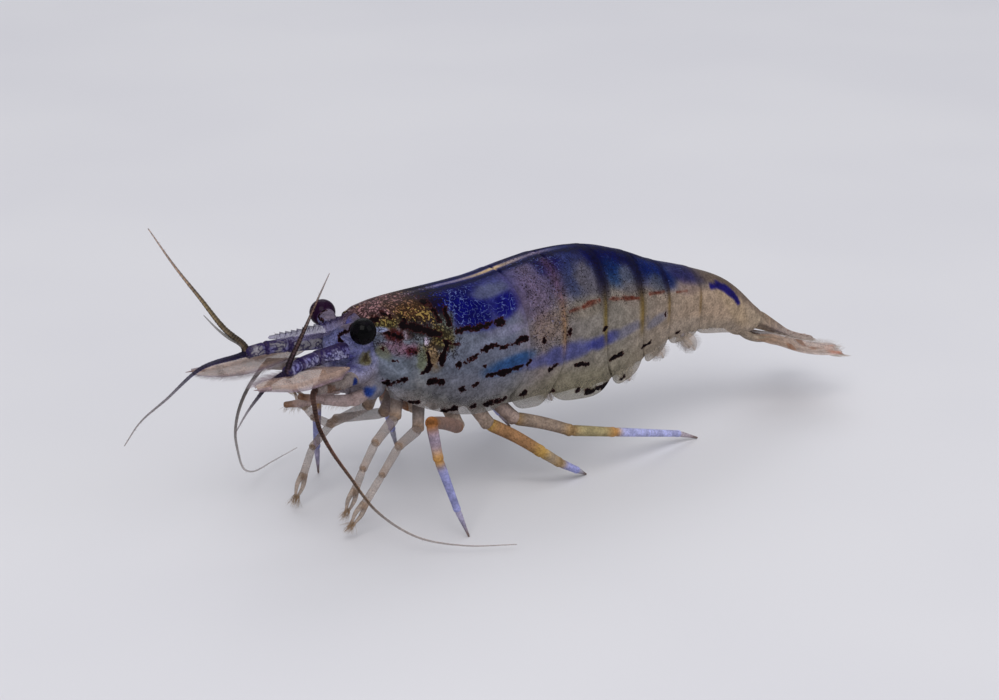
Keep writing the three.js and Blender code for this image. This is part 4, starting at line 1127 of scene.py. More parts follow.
ANTENNULE_STEM = (
    ((-11.2, 0.95, 10.5), (-13.2, 1.35, 10.55), (-14.8, 1.75, 10.55), (-15.9, 2.1, 10.38)),
    (0.48, 0.43, 0.38, 0.33),
)
ANTENNA_STEM = (((-11.0, 1.55, 9.0), (-12.8, 2.15, 9.05), (-14.3, 2.6, 9.25)), (0.42, 0.38, 0.32))


def segments(path, radii, breaks, sides):
    """Jointed segments along a path: each narrows at its root and flares at its far end."""
    parts = []
    share = np.linspace(0, 1, 26)
    swell = 1 - 0.25 * bell(share, 0, 0.1) + 0.1 * bell(share, 0.94, 0.08)
    for start, stop in zip(breaks, breaks[1:]):
        inside = np.linspace(start, stop, len(share))
        radius = np.interp(inside, np.linspace(0, 1, len(radii)), radii) * swell
        part = tube(sample(inside, np.linspace(0, 1, len(path)), path), radius, sides, dome=0.5)
        part.stretch = start + (stop - start) * part.along
        parts.append(part)
    return parts


def antennule_stem(name, side):
    """One antennule's stem of three segments, with the spine at its root."""
    points, radii = ANTENNULE_STEM
    path = curve(mirrored(points, side), 120)
    spine = mirrored([(-11.6, 1.35, 10.3), (-12.6, 1.8, 10.4), (-13.6, 1.95, 10.6)], side)
    parts = segments(path, radii, (0, 0.5, 0.78, 1.0), 26)
    parts.append(horn(spine, 0.24, 0.03, 16, 10, squash=0.6, dome=0.3))
    for part in parts:
        x, z = part.points[:, 0], part.points[:, 2]
        crest = smooth(z - np.interp(x, path[::-1, 0], path[::-1, 2]), 0.2, 0.42)
        patch = smooth(noise(part.points, 0.55, 12 + side) + 0.5 * noise(part.points, 0.22, 14), -0.1, 0.5)
        ring = np.clip(bell(part.along, 1.0, 0.1) + bell(part.along, 0.0, 0.06), 0, 1)
        tone = blend((150, 148, 182) if side < 0 else (146, 142, 150), (84, 80, 136), patch * 0.7)
        tone = blend(blend(tone, (34, 22, 44), ring * 0.6), (28, 18, 44), crest * 0.8)
        part.paint(tone, 0.7 + 0.28 * np.maximum(patch, crest), 0.4, 1.0)
    piece(f"antennule_{name}_stem", parts, STEM, [f"antennule_{name}"])


def antenna_stem(name, side):
    """One long antenna's stem of three segments."""
    points, radii = ANTENNA_STEM
    parts = segments(curve(mirrored(points, side), 90), radii, (0, 0.42, 0.72, 1.0), 22)
    for part in parts:
        tone = blend((138, 126, 122), (92, 60, 44), smooth(noise(part.points, 0.4, 16), 0.0, 0.5) * 0.6)
        part.paint(spotted(part.points, tone), 0.75, 0.35, 0.3)
    piece(f"antenna_{name}_stem", parts, LIMB, [f"antenna_{name}"])


def stems():
    """The jointed stems of both pairs of feelers."""
    for name, side in SIDES:
        antennule_stem(name, side)
        antenna_stem(name, side)


class Blade:
    """A flat leaf along a curve: its outer and inner half widths, thickness and camber."""

    def __init__(self, points, across, outer, inner, thick, camber, steps):
        self.t = np.linspace(0, 1, steps)
        self.path = curve(points, steps)
        self.tangent, self.side, self.up = frames(self.path, across)
        self.outer, self.inner = outer(self.t), inner(self.t)
        self.thick, self.camber = thick, camber

    def place(self, t, reach):
        """Points at shares t along the leaf and at reach from -1 (inner edge) to 1 (outer edge)."""
        width = np.where(reach > 0, np.interp(t, self.t, self.outer), np.interp(t, self.t, self.inner))
        path, side, up = (sample(t, self.t, rows) for rows in (self.path, self.side, self.up))
        return path + side * (reach * width)[:, None] - up * (self.camber * reach**2)[:, None]

    def body(self, ribs=(0.0,), sides=40):
        """The leaf's closed mesh, with raised ribs on both faces."""
        angle = np.linspace(0, 2 * math.pi, sides, endpoint=False)
        reach = np.cos(angle)
        points = self.place(np.repeat(self.t, sides), np.tile(reach, len(self.t)))
        taper = np.clip(np.minimum(self.outer, self.inner) / 0.25, 0.05, 1)
        ridge = sum(bell(reach, at, 0.09) for at in ribs) * 0.7
        shape = np.sin(angle) * (1 - 0.55 * np.abs(reach)) + np.sign(np.sin(angle)) * ridge * 0.5
        lift = (taper * self.thick)[:, None] * shape[None]
        rings = points.reshape(-1, sides, 3) + self.up[:, None] * lift[..., None]
        return loft(rings, self.path[[0, -1]], self.t, reach)

    def fringe(self, edge, start, stop, count, length, radius, sweep):
        """Hairs along one edge, sweeping towards the leaf's tip."""
        t = np.clip(np.linspace(start, stop, count) + rng.normal(0, 0.002, count), 0, 1)
        roots, outside, inside = (self.place(t, np.full(count, reach * edge)) for reach in (0.97, 1.2, 0.6))
        ahead = sample(t, self.t, self.tangent)
        lean = sweep + (1.6 - sweep) * smooth(t, 0.86, 1.0)[:, None]
        way = unit(outside - inside) + ahead * lean + rng.normal(0, 0.05, (count, 3))
        size = length * (0.7 + 0.3 * np.sin(np.linspace(0, math.pi, count))) * rng.uniform(0.85, 1.1, count)
        return bristles(roots, way, size, radius, unit(ahead).mean(0) * 0.15)


def leaf(half, widest, power=0.55):
    """A leaf's half width: almost none at the ends, and this half at the share where it is widest."""
    bend = math.log(0.5) / math.log(widest)
    return lambda t: half * np.sin(math.pi * np.clip(t, 0.0, 1.0) ** bend) ** power + 0.015


def straight_edge(half):
    """The half width of a leaf whose edge is nearly straight and draws in towards the tip."""
    return lambda t: half * smooth(t, -0.05, 0.2) * (1 - 0.55 * smooth(t, 0.5, 1.0))


SCALES = {
    "left": ((-11.9, 2.2, 9.9), (-13.6, 2.45, 10.0), (-16.0, 2.95, 10.05), (-18.6, 3.3, 10.45)),
    "right": ((-11.9, 2.2, 9.8), (-13.8, 2.5, 9.65), (-16.2, 2.9, 9.4), (-18.8, 3.2, 9.4)),
}
SCALE_HALF = 0.98
PATCH_PAD, PATCH_SIZE = 0.006, 0.003  # of the bake map: a hair's patch lies this far in and is this wide


def hair_patches(parts):
    """Gives each hair its own small square on the bake map, in rows by group."""
    counts = [int(part.around.max()) + 1 for part in parts]
    columns = int(math.ceil(math.sqrt(sum(counts))))
    for part, start in zip(parts, np.cumsum([0] + counts)):
        index = start + part.around.astype(int)
        cell = np.stack([index % columns, index // columns], -1) / columns
        part.patch = cell + PATCH_PAD + np.stack([part.along, (part.along * 7) % 1], -1) * PATCH_SIZE
    return parts


def antenna_scales():
    """The blade-like scales beside the antennae, with their fringes."""
    for name, side in SIDES:
        scale = Blade(mirrored(SCALES[name], side), (0.1, side, 0.35 * side),
                      straight_edge(SCALE_HALF * 0.75), leaf(SCALE_HALF, 0.55, 0.5), 0.07, 0.12, 120)
        part = scale.body(ribs=(0.35, -0.2))
        spots = smooth(noise(part.points, 0.5, 21), 0.25, 0.6)
        tone = blend((154, 130, 118), (122, 104, 116), smooth(np.abs(part.around), 0.55, 1.0))
        tone = blend(tone, (104, 82, 76), spots * 0.45)
        part.paint(tone, 0.52 + 0.25 * bell(part.around, 0.35, 0.15) + 0.15 * spots, 0.25, 0.2)
        tip, ahead = scale.path[-1] + scale.side[-1] * 0.25, scale.tangent[-1]
        point = horn([tip - ahead * 0.8, tip + ahead * 0.35], 0.12, 0.015, 12, 10, dome=0.3)
        point.paint((140, 120, 122), 0.85)
        piece(f"antenna_scale_{name}_blade", [part, point], CLEAR, [f"antenna_scale_{name}"])
        hairs = [scale.fringe(-1, 0.18, 0.99, 110, 0.75, 0.013, 0.75),
                 scale.fringe(-1, 0.2, 0.98, 90, 0.5, 0.011, 0.9)]
        for part in hairs:
            part.paint((168, 156, 162), 0.75)
        piece(f"antenna_scale_{name}_fringe", hair_patches(hairs), HAIR, hair=True)


FEELERS = {
    "left": {
        "outer": ((-15.9, 2.15, 10.4), (-15.82, 2.2, 10.9), (-15.4, 2.6, 12.2), (-15.1, 3.4, 13.9),
                  (-14.92, 4.1, 15.25), (-14.8, 4.9, 16.6)),
        "inner": ((-15.95, 2.1, 10.36), (-16.45, 2.15, 10.28), (-17.26, 2.3, 10.0), (-18.0, 2.4, 9.45),
                  (-18.75, 2.5, 8.8), (-19.6, 2.6, 7.8)),
        "antenna": ((-14.4, 2.62, 9.25), (-14.62, 2.68, 9.0), (-14.72, 3.0, 8.2), (-14.6, 3.2, 7.2),
                    (-14.06, 3.6, 5.8), (-13.42, 4.2, 4.5), (-13.33, 4.3, 4.32), (-12.3, 5.3, 2.4),
                    (-10.7, 6.9, 1.0), (-8.6, 8.5, 0.5), (-6.0, 9.9, 0.4)),
    },
    "right": {
        "outer": ((-15.9, 2.15, 10.4), (-16.1, 2.2, 10.85), (-17.1, 2.45, 11.9), (-18.35, 2.9, 13.84),
                  (-19.6, 3.4, 15.8), (-20.8, 4.0, 18.0)),
        "inner": ((-15.95, 2.1, 10.36), (-16.45, 2.2, 10.25), (-18.7, 2.4, 9.95), (-20.9, 2.6, 8.5),
                  (-22.4, 2.9, 7.4), (-23.4, 3.0, 6.2)),
        "antenna": ((-14.4, 2.65, 9.25), (-14.62, 2.75, 9.0), (-15.2, 3.4, 7.7), (-15.5, 4.0, 6.2),
                    (-15.4, 4.6, 4.6), (-14.9, 5.2, 3.2), (-14.83, 5.28, 3.03), (-14.0, 6.2, 1.7),
                    (-12.5, 7.5, 0.75), (-10.4, 8.9, 0.45), (-7.9, 10.1, 0.4)),
    },
}
# The short side branch that the far outer feeler carries.
BRANCH = ((-16.0, 2.17, 10.6), (-16.4, 2.2, 11.0), (-16.9, 2.3, 11.35), (-17.6, 2.35, 12.0),
          (-18.4, 2.45, 12.95))
# Root and tip radius, then from root to tip the share along, the colour and its opacity.
FEELER_LOOKS = {
    ("left", "outer"): (0.19, 0.025, (
        (0, (54, 42, 54), 0.95), (0.35, (74, 58, 54), 0.88),
        (0.6, (104, 84, 76), 0.7), (1, (146, 116, 104), 0.45))),
    ("left", "inner"): (0.2, 0.03, (
        (0, (44, 34, 62), 0.95), (0.4, (56, 46, 72), 0.88),
        (0.75, (120, 106, 116), 0.5), (1, (140, 124, 124), 0.4))),
    ("right", "outer"): (0.22, 0.03, (
        (0, (78, 66, 56), 0.92), (0.4, (120, 104, 76), 0.85),
        (0.7, (142, 112, 88), 0.65), (1, (160, 128, 108), 0.5))),
    ("right", "inner"): (0.18, 0.03, (
        (0, (40, 34, 66), 0.92), (0.35, (70, 66, 96), 0.8),
        (0.6, (124, 112, 122), 0.6), (1, (160, 140, 132), 0.45))),
    ("left", "antenna"): (0.17, 0.03, (
        (0, (112, 84, 76), 0.96), (0.25, (112, 82, 72), 0.92), (0.42, (124, 98, 76), 0.75),
        (0.55, (146, 124, 110), 0.45), (1, (164, 134, 116), 0.3))),
    ("right", "antenna"): (0.14, 0.025, (
        (0, (96, 82, 76), 0.85), (0.3, (116, 102, 96), 0.6),
        (0.5, (146, 130, 122), 0.4), (1, (168, 142, 126), 0.3))),
}
RING_PITCH = 0.2  # mm between the rings of a feeler


def painted_highlight(part):
    """A painted highlight: a brighter line along a feeler's upper side."""
    return bell(np.cos(part.around - 0.9), 0, 0.45)[:, None]


def whip(points, root, tip, stops, power):
    """One ringed feeler, tapering by a power, and the hairs at its rings."""
    length = np.linalg.norm(np.diff(curve(points, 60), axis=0), axis=1).sum()
    steps = int(length / 0.04)
    path = curve(points, steps)
    t = np.linspace(0, 1, steps)
    phase = np.cumsum(length / steps / (RING_PITCH * (0.75 + 0.8 * t)))
    ring = phase - np.floor(phase)
    taper = (root + (tip - root) * t**power) * (1 + 0.25 * bell(t, 0, 0.03))
    part = tube(path, taper * (0.9 + 0.16 * ring**0.8), 10, dome=0.6)
    at, tones, opacities = zip(*stops)
    joint = np.interp(part.along, t, bell(ring, 0.04, 0.12) + bell(ring, 1.0, 0.08))
    blotch = smooth(noise(part.points, 0.9, 31), 0.1, 0.5) * (1 - part.along)
    dim = (1 - 0.35 * joint - 0.25 * blotch)[:, None]
    # A painted highlight lightens the feeler's upper side.
    tone = sample(part.along, at, tones) * dim * (0.72 + 0.62 * painted_highlight(part))
    part.paint(tone, np.interp(part.along, at, opacities), 0.3 * (1 - part.along))
    picks = np.flatnonzero((np.diff(ring, prepend=0) < 0) & (t > 0.08))[::2]
    way = unit(rng.normal(0, 1, (len(picks), 3)) + frames(path, (0, 1, 0))[0][picks] * 0.8)
    hairs = bristles(path[picks] + way * taper[picks][:, None] * 0.7, way, 0.16, 0.009)
    return [part, hairs.paint((140, 124, 124), 0.7)]


def feelers():
    """The ringed, tapering feelers: two on each antennule and one long one on each antenna."""
    for name, side in SIDES:
        for kind, points in FEELERS[name].items():
            long = kind == "antenna"
            parts = whip(mirrored(points, side), *FEELER_LOOKS[name, kind], 0.6 if long else 0.75)
            if (name, kind) == ("right", "outer"):
                branch = horn(mirrored(BRANCH, side), 0.12, 0.03, 60, 10)
                # The branch gets the same painted highlight along its upper side.
                tone = np.array((104, 98, 92)) * (0.7 + 0.6 * painted_highlight(branch))
                parts.append(branch.paint(tone, 0.8 - 0.4 * branch.along, 0.2))
            label = f"antenna_whip_{name}" if long else f"antennule_{kind}_whip_{name}"
            root = f"antenna_{name}_feeler"
            nodes = [root, root + "_end"] if long else [f"antennule_{name}_{kind}"]
            piece(label, parts, FEELER, nodes)


# ---------------------------------------------------------------- limbs

JAW_LEGS = {
    "left": ((-9.2, 0.75, 8.2), (-10.8, 1.1, 7.5), (-12.9, 1.15, 7.9), (-14.5, 1.05, 8.4)),
    "right": ((-9.2, 0.75, 8.2), (-10.8, 1.1, 7.5), (-12.6, 1.3, 7.0), (-14.0, 1.3, 7.1)),
}
CLAW_LEGS = {  # hip, thigh, knee, wrist, palm
    ("claw_leg_1", "left"): (
        (-7.9, 1, 7.4), (-8.3, 1.3, 5.9), (-10.2, 2.1, 5.0), (-11.2, 2.3, 3.7), (-11.7, 2.1, 2.3)),
    ("claw_leg_1", "right"): (
        (-7.9, 1, 7.4), (-8.4, 1.4, 5.8), (-10.5, 2.2, 4.9), (-11.5, 2.4, 5.5), (-12.1, 2.3, 6.4)),
    ("claw_leg_2", "left"): (
        (-6.6, 1.2, 6.8), (-7, 1.7, 5), (-9.4, 3.3, 5), (-10.7, 3.5, 3.6), (-11.9, 3.3, 1.9)),
    ("claw_leg_2", "right"): (
        (-6.6, 1.2, 6.8), (-7.1, 1.7, 5), (-9.5, 3.2, 4.7), (-11.1, 3.2, 3.3), (-12, 2.9, 1.7)),
}
CLAW_RADII = (0.38, 0.33, 0.26, 0.22, 0.24)
CLAW_LOOKS = (  # colour and opacity of each length
    ((118, 106, 102), 0.8), ((142, 128, 122), 0.52), ((156, 142, 134), 0.46), ((162, 148, 140), 0.48),
)
CLAW_FINGER = 1.1
WALKING_LEGS = {  # hip, thigh, knee, wrist, ankle, tip
    ("leg_3", "left"): ((-5, 1.5, 6.4), (-4.5, 2.1, 4.7), (-9, 5.95, 7.1),
                        (-8.85, 6.4, 5.05), (-7.7, 6.55, 1.8), (-7, 6.69, 0)),
    ("leg_3", "right"): ((-5, 1.5, 6.4), (-4.7, 2.1, 4.7), (-8.4, 5.6, 6.9),
                         (-8.9, 6.1, 4.8), (-8.8, 6.4, 1.8), (-8.6, 6.6, 0)),
    ("leg_4", "left"): ((-3.4, 1.5, 6.2), (-2.3, 2, 4.4), (0.6, 3.3, 2.4),
                        (1.8, 3.5, 1.5), (3.3, 3.3, 0.6), (4.2, 3, 0)),
    ("leg_4", "right"): ((-3.4, 1.5, 6.2), (-3.3, 2.1, 4.6), (-4.6, 5.6, 6.2),
                         (-4.2, 6.2, 4.2), (-3.2, 6.7, 1.6), (-2.7, 6.9, 0)),
    ("leg_5", "left"): ((-1.9, 1.4, 6), (-0.4, 2, 4.3), (3, 3, 3.1),
                        (6.3, 2.95, 2.25), (12, 2.2, 0.65), (13.5, 2.2, 0)),
    ("leg_5", "right"): ((-1.9, 1.4, 6), (-1.5, 2.15, 4.35), (0.8, 5, 5.3),
                         (2.2, 5.6, 3.7), (4.4, 6.1, 1.2), (5.3, 6.2, 0)),
}
WALKING_RADII = (0.46, 0.4, 0.34, 0.28, 0.2, 0.05)
# Colours of the five podomeres from the hip, then of the knee and the wrist.
WALKING_TONES = {
    "leg_3": (((146, 128, 116), (130, 104, 94), (146, 132, 150), (140, 142, 188), (156, 150, 176)),
              (136, 87, 48), (176, 132, 78)),
    "leg_4": (((146, 128, 116), (140, 104, 72), (152, 136, 118), (154, 156, 206), (156, 154, 168)),
              (170, 136, 76), (152, 126, 92)),
    "leg_5": (((146, 128, 120), (138, 121, 108), (156, 143, 106), (170, 172, 216), (168, 156, 166)),
              (148, 120, 84), (182, 136, 84)),
}


def podomere(start, stop, first, last, tones, bow=0.0):
    """One leg segment and its colours: slightly bowed, narrow at its root, rimmed at its far end."""
    length = np.linalg.norm(stop - start)
    t = np.linspace(0, 1, max(24, int(length / 0.07)))
    path = start + (stop - start) * t[:, None]
    path[:, 2] += bow * np.sin(math.pi * t)
    rim = 0.16 / length
    radius = first + (last - first) * t
    radius = radius * (1 - 0.18 * bell(t, 0, 1.3 * rim) + 0.08 * bell(t, 1 - 0.5 * rim, rim))
    part = tube(path, radius, 18, dome=0.6)
    root, middle, end = tones
    return part, blend(blend(middle, root, bell(part.along, 0, 0.45 / length)), end,
                       bell(part.along, 1, 0.55 / length))


def joint_cap(joint, size, tone, opacity, dots):
    """The rounded end of a leg segment, seen inside a joint."""
    return ball(joint, (size,) * 3, 12, 18).paint(tone, opacity, dots)


SPECKLES = (0.35, 0.55, 0.3, 0.25, 0.3)  # density of dots on the five podomeres
CLAW_TIP, JOINT_TONE = (112, 94, 88), (120, 100, 92)


def leg_spikes(shin_root, ankle, tip):
    """The short spikes behind a walking leg's shin and under its claw."""
    roots = shin_root + (ankle - shin_root) * np.linspace(0.25, 0.97, 9)[:, None]
    back = unit(np.array((0.6, 0, -0.5)) + unit(ankle - shin_root) * 0.6)
    spikes = bristles(roots + back * 0.16, back, 0.26, 0.022)
    roots = ankle + (tip - ankle) * np.linspace(0.3, 0.9, 6)[:, None]
    claws = bristles(roots, unit(tip - ankle) + (0.5, 0, 0.1), 0.2, 0.02)
    return [part.paint((96, 74, 66), 0.95) for part in (spikes, claws)]


def walking_legs():
    """The three pairs of walking legs, each of five segments and a claw."""
    for (leg, name), joints in WALKING_LEGS.items():
        joints = mirrored(joints, dict(SIDES)[name])
        joints[-1, 2] = 0.05
        tones, knee, wrist = WALKING_TONES[leg]
        parts = []
        for index, (start, stop) in enumerate(zip(joints, joints[1:])):
            tone = tones[index]
            root = (tone, knee, knee, wrist, tone)[index]
            end = (tone, knee, wrist, tone, CLAW_TIP)[index]
            part, colour = podomere(start, stop, WALKING_RADII[index], WALKING_RADII[index + 1],
                                    (root, tone, end), 0.1 if index == 1 else 0.0)
            parts.append(part.paint(colour, 0.9, SPECKLES[index], 0.15))
        for joint, radius, tone in zip(joints[1:], WALKING_RADII[1:], (JOINT_TONE, knee, wrist, JOINT_TONE)):
            parts.append(joint_cap(joint, radius * 0.84, np.array(tone) * 0.8, 0.95, 0.4))
        parts += leg_spikes(*joints[-3:])
        piece(f"walking_{leg}_{name}", parts, LIMB, [f"{leg}_{name}_upper", f"{leg}_{name}_lower"])


def claw(wrist, palm):
    """A claw's two fingers, and the brush of hair on the tip of each."""
    fingers, brushes = [], []
    ahead = unit(palm - wrist)
    aside = unit(np.cross(ahead, (0, 1, 0)))
    for bend in (-1, 1):
        path = [palm + ahead * far + aside * bend * wide
                for far, wide in ((-0.15, 0.1), (0.45, 0.22), (CLAW_FINGER, 0.1))]
        finger = horn(path, 0.17, 0.07, 22, 14, squash=1.1, dome=0.8)
        fingers.append(finger.paint((160, 142, 128), 0.65, 0.25))
        count = 34
        way = unit(ahead + rng.normal(0, 0.28, (count, 3)))
        brush = bristles(path[-1] - ahead * 0.1 + rng.normal(0, 0.04, (count, 3)), way,
                         rng.uniform(0.5, 0.95, count), 0.012)
        brushes.append(brush.paint((150, 122, 92), 0.9))
    return fingers, brushes


def claw_legs():
    """The two pairs of feeding legs, whose claws end in brushes of hair."""
    brushes = []
    for (leg, name), joints in CLAW_LEGS.items():
        joints = mirrored(joints, dict(SIDES)[name])
        parts = []
        for ends, radii, (tone, opacity) in zip(zip(joints, joints[1:]), zip(CLAW_RADII, CLAW_RADII[1:]),
                                                CLAW_LOOKS):
            part, colour = podomere(*ends, *radii, (tone, tone, (150, 126, 108)))
            parts.append(part.paint(colour, opacity, 0.3, 0.1))
        for joint, radius in zip(joints[1:-1], CLAW_RADII[1:]):
            parts.append(joint_cap(joint, radius * 0.82, (140, 116, 100), 0.5, 0.3))
        fingers, brush = claw(*joints[-2:])
        brushes += brush
        piece(f"feeding_{leg}_{name}", parts + fingers, LIMB, [f"{leg}_{name}"])
    piece("claw_brushes", hair_patches(brushes), HAIR, hair=True)


def jaw_legs():
    """The leg-like outer jaws below the head, fringed with hair."""
    fringes = []
    for name, side in SIDES:
        path = curve(mirrored(JAW_LEGS[name], side), 110)
        parts = segments(path, (0.4, 0.38, 0.3, 0.16), (0, 0.36, 0.72, 1.0), 18)
        for part in parts:
            tone = blend((166, 145, 142), (120, 84, 60), smooth(part.stretch, 0.82, 1.0))
            part.paint(spotted(part.points, tone), 0.78, 0.35, 0.2)
        count = 120
        roots = sample(np.linspace(0.2, 0.99, count), np.linspace(0, 1, len(path)), path)
        way = unit(np.stack([-0.5 + rng.normal(0, 0.25, count), rng.normal(0, 0.5, count),
                             -0.7 + rng.normal(0, 0.2, count)], -1))
        hairs = bristles(roots + way * 0.12, way, rng.uniform(0.3, 0.62, count), 0.012)
        fringes.append(hairs.paint((158, 138, 120), 0.85))
        piece(f"jaw_leg_{name}", parts, LIMB, [f"maxilliped_{name}"])
    piece("jaw_leg_fringes", hair_patches(fringes), HAIR, hair=True)


SWIMMERET_OUT, SWIMMERET_DROP, SWIMMERET_BACK = 1.2, 2.7, 1.2


def swimmerets():
    """Five pairs of paddles under the abdomen, each a stout base with two fringed leaves."""
    fringes = []
    for index, (x, z) in enumerate(PLEOPOD_ROOTS, 1):
        drop = SWIMMERET_DROP * (1 if index < 4 else 0.8)
        for name, side in SIDES:
            hip = np.array((x, side * SWIMMERET_OUT, z - 0.1))
            knee = hip + (0.1, side * 0.12, -0.95)
            tip = hip + (SWIMMERET_BACK, side * 0.1, -drop)
            base, colour = podomere(hip, knee, 0.4, 0.34, ((136, 126, 126),) * 3)
            parts = [base.paint(colour, 0.7, 0.25, 0.1)]
            for spread, half in ((0.28, 0.42), (-0.22, 0.36)):
                end = tip + (0, side * spread, 0)
                bend = (knee + end) / 2 + (0.12, side * spread * 0.8, 0)
                width = leaf(half, 0.45)
                paddle = Blade([knee + (0, 0, 0.1), bend, end], (0.8, side * 0.35, 0.45), width, width,
                               0.045, 0.05, 50)
                part = paddle.body(sides=26)
                parts.append(part.paint((156, 140, 126), 0.38 + 0.3 * bell(part.around, 0, 0.2), 0.2, 0.1))
                for edge in (-1, 1):
                    hairs = paddle.fringe(edge, 0.3, 0.99, 34, 0.42, 0.011, 1.0)
                    fringes.append(hairs.paint((170, 160, 156), 0.5))
            piece(f"swimming_leg_{index}_{name}", parts, CLEAR, [f"swimmeret_{index}_{name}"])
    piece("swimming_leg_fringes", hair_patches(fringes), HAIR, hair=True)


# ---------------------------------------------------------------- tail fan

TELSON = ((18.9, 0, 6.35), (19.9, 0, 6.0), (21.2, 0, 5.3), (22.8, 0, 4.45), (24.8, 0, 3.7))
UROPOD_STEM = ((18.0, 0.62, 5.95), (18.7, 0.72, 5.3), (19.4, 0.85, 4.98), (20.3, 1.0, 4.8))
UROPODS = {  # path, half width, and how the blade lies across
    "outer": (
        ((18.8, 0.8, 5.1), (20.2, 1.15, 4.85), (21.8, 1.75, 4.2), (23.6, 2.2, 3.65), (25.3, 2.35, 3.25)),
        0.9, -0.35),
    "inner": (
        ((18.8, 0.6, 5.1), (20.2, 0.85, 4.75), (21.8, 1.1, 4.1), (23.6, 1.3, 3.6), (25.6, 1.4, 3.4)),
        0.7, -0.2),
}


def tail_tones(part, seed, light=1.0):
    """Beige and clear, browner towards the root and edges, with brown dots."""
    root = 1 - smooth(part.along, 0.1, 0.7)
    dots = smooth(noise(part.points, 0.6, seed), 0.35, 0.6)
    tone = blend(blend((158, 142, 134), (128, 106, 90), root), (92, 58, 40), dots * 0.6)
    tone = blend(tone, (120, 104, 104), smooth(np.abs(part.around), 0.8, 1.0) * 0.4)
    opacity = 0.5 + 0.25 * root + 0.3 * bell(part.around, 0, 0.16) + 0.2 * dots
    return part.paint(tone * light, np.clip(opacity, 0, 0.95), 0.3, 0.2)


def telson():
    """The tail's middle plate, with spines along its edges and at its end."""
    steps = 110
    taper = lambda t: 1.0 - 0.3 * smooth(t, 0.0, 0.3) - 0.4 * t - 0.12 * smooth(t, 0.96, 1.0)
    thick = 0.62 - 0.46 * smooth(np.linspace(0, 1, steps), 0, 0.8)
    blade = Blade(TELSON, (0, 1, 0), taper, taper, thick, 0.14, steps)
    body = tail_tones(blade.body(ribs=(-0.45, 0.45)), 41)
    body.pigment[:, 3] = np.clip(body.pigment[:, 3] + 0.25, 0, 0.95)
    body.pigment[:, :3] = blend(body.pigment[:, :3], (140, 124, 108), 1 - smooth(body.along, 0.1, 0.5))
    parts = [body]
    for edge in (-1, 1):
        roots = blade.place(np.linspace(0.5, 0.9, 5), np.full(5, 0.6 * edge)) + (0, 0, 0.12)
        parts.append(bristles(roots, (0.9, 0, 0.1), 0.24, 0.03).paint((96, 70, 56), 0.95))
    tips = blade.place(np.full(8, 0.995), np.linspace(-0.9, 0.9, 8))
    parts.append(bristles(tips, blade.tangent[-1], 0.42, 0.025).paint((150, 132, 120), 0.9))
    piece("telson_blade", parts, CLEAR, ["telson"])


def uropod_blade(kind, side):
    """One blade of the tail fan, with a warm tip, and the hairs of its two edges."""
    points, half, lean = UROPODS[kind]
    round_edge = leaf(half, 0.62, 0.5)
    outer, ribs, outer_hairs = {
        "outer": (straight_edge(half * 0.8), (0.0, 0.5), (0.8, 26)),
        "inner": (round_edge, (0.0,), (0.25, 80)),
    }[kind]
    fan = Blade(mirrored(points, side), (0, side, lean), outer, round_edge, 0.06, 0.08, 110)
    part = tail_tones(fan.body(ribs=ribs), 43, 1.14)
    warm = smooth(part.along, 0.78, 0.9) * (1 - smooth(part.along, 0.94, 1.0)) * bell(part.around, 0.2, 0.5)
    part.pigment[:, :3] = blend(part.pigment[:, :3], (176, 92, 58), warm * 0.7)
    fringes = []
    for edge, (first, count) in ((-1, (0.25, 80)), (1, outer_hairs)):
        hairs = fan.fringe(edge, first, 0.995, count, 0.62, 0.013, 0.9)
        fringes.append(hairs.paint((172, 158, 148), 0.75))
    return part, fringes


def tail_fan():
    """The telson and the two pairs of uropods."""
    telson()
    fringes = []
    for name, side in SIDES:
        stem = horn(mirrored(UROPOD_STEM, side), 0.42, 0.2, 40, 18, squash=0.8)
        parts = [stem.paint((148, 132, 116), 0.85 - 0.3 * smooth(stem.along, 0.5, 1.0), 0.35, 0.2)]
        for kind in UROPODS:
            part, hairs = uropod_blade(kind, side)
            parts.append(part)
            fringes += hairs
        piece(f"uropod_{name}_fan", parts, CLEAR, [f"uropod_{name}"])
    piece("tail_fringes", hair_patches(fringes), HAIR, hair=True)


# ---------------------------------------------------------------- stage, light and camera

TARGET = np.array((0, 0, 7.9))  # mm, what the camera and the lights face
DISTANCE = 163.235  # mm
AZIMUTH, ELEVATION = -36.0, 19.0
LENS = 100.0  # mm on a 36 mm sensor


def direction(azimuth, elevation):
    """The direction from the shrimp towards a viewer; azimuth 0 is straight out from its left side."""
    a, e = math.radians(azimuth), math.radians(elevation)
    return np.array((math.sin(a) * math.cos(e), -math.cos(a) * math.cos(e), math.sin(e)))


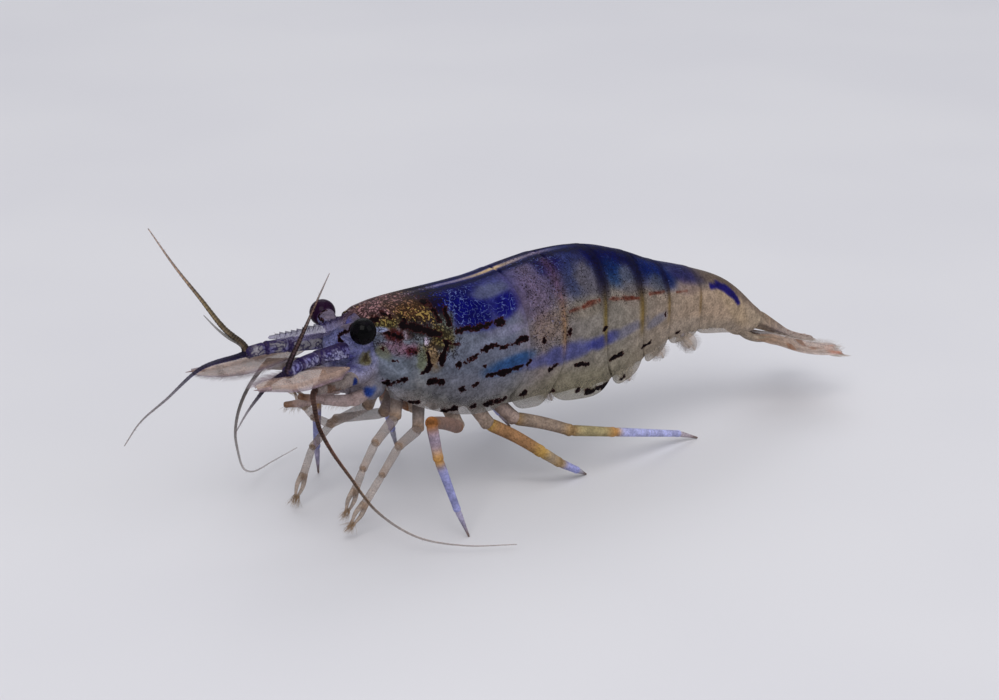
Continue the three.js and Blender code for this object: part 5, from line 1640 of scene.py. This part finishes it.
def aim(thing, azimuth, elevation, distance):
    """Puts a camera or light at a distance in mm from the target and turns it to face it."""
    back = direction(azimuth, elevation)
    thing.location = (TARGET + OFFSET + back * distance) * MM
    thing.rotation_euler = Vector(back).to_track_quat("Z", "Y").to_euler()


def camera():
    """The photo's view."""
    data = bpy.data.cameras.new("camera")
    data.lens = LENS
    data.clip_start = 1 * MM
    bpy.context.scene.camera = placed("camera", data)
    aim(bpy.context.scene.camera, AZIMUTH, ELEVATION, DISTANCE)


LIGHTS = (  # name, azimuth, elevation, distance and size in mm, watts, colour
    ("key", -40, 48, 420, 260, 0.95, (1, 0.985, 0.96)),
    ("fill", 35, 28, 480, 320, 0.45, (0.94, 0.96, 1)),
    ("rim", 150, 45, 420, 260, 0.35, (0.96, 0.97, 1)),
    ("top", 0, 88, 420, 300, 0.2, (1, 1, 1)),
)


def lighting():
    """Large soft lights round the shrimp and an even pale sky."""
    for name, azimuth, elevation, distance, size, watts, colour in LIGHTS:
        data = bpy.data.lights.new(name, "AREA")
        data.size = size * MM
        data.energy = watts
        data.color = colour
        aim(placed(name, data), azimuth, elevation, distance)
    world = bpy.data.worlds.new("sky")
    world.use_nodes = True
    sky = world.node_tree.nodes["Background"]
    sky.inputs["Color"].default_value = (0.86, 0.88, 0.93, 1)
    sky.inputs["Strength"].default_value = 0.5
    bpy.context.scene.world = world


def floor():
    """A plain pale floor."""
    s = Shader("pale_floor")
    tone = s.mix(s.step(s.grain(0.03), 0.3, 0.7), shade(206, 205, 210), shade(210, 209, 213))
    half = 2000 * MM
    mesh = bpy.data.meshes.new("floor")
    corners = [(-half, -half, 0), (half, -half, 0), (half, half, 0), (-half, half, 0)]
    mesh.from_pydata(corners, [], [(0, 1, 2, 3)])
    mesh.materials.append(s.finish(Base_Color=tone, Roughness=0.75))
    placed("floor", mesh)


camera()
lighting()
floor()
skin()
shell_plates()
eyes()
rostrum()
stems()
antenna_scales()
feelers()
jaw_legs()
claw_legs()
walking_legs()
swimmerets()
tail_fan()
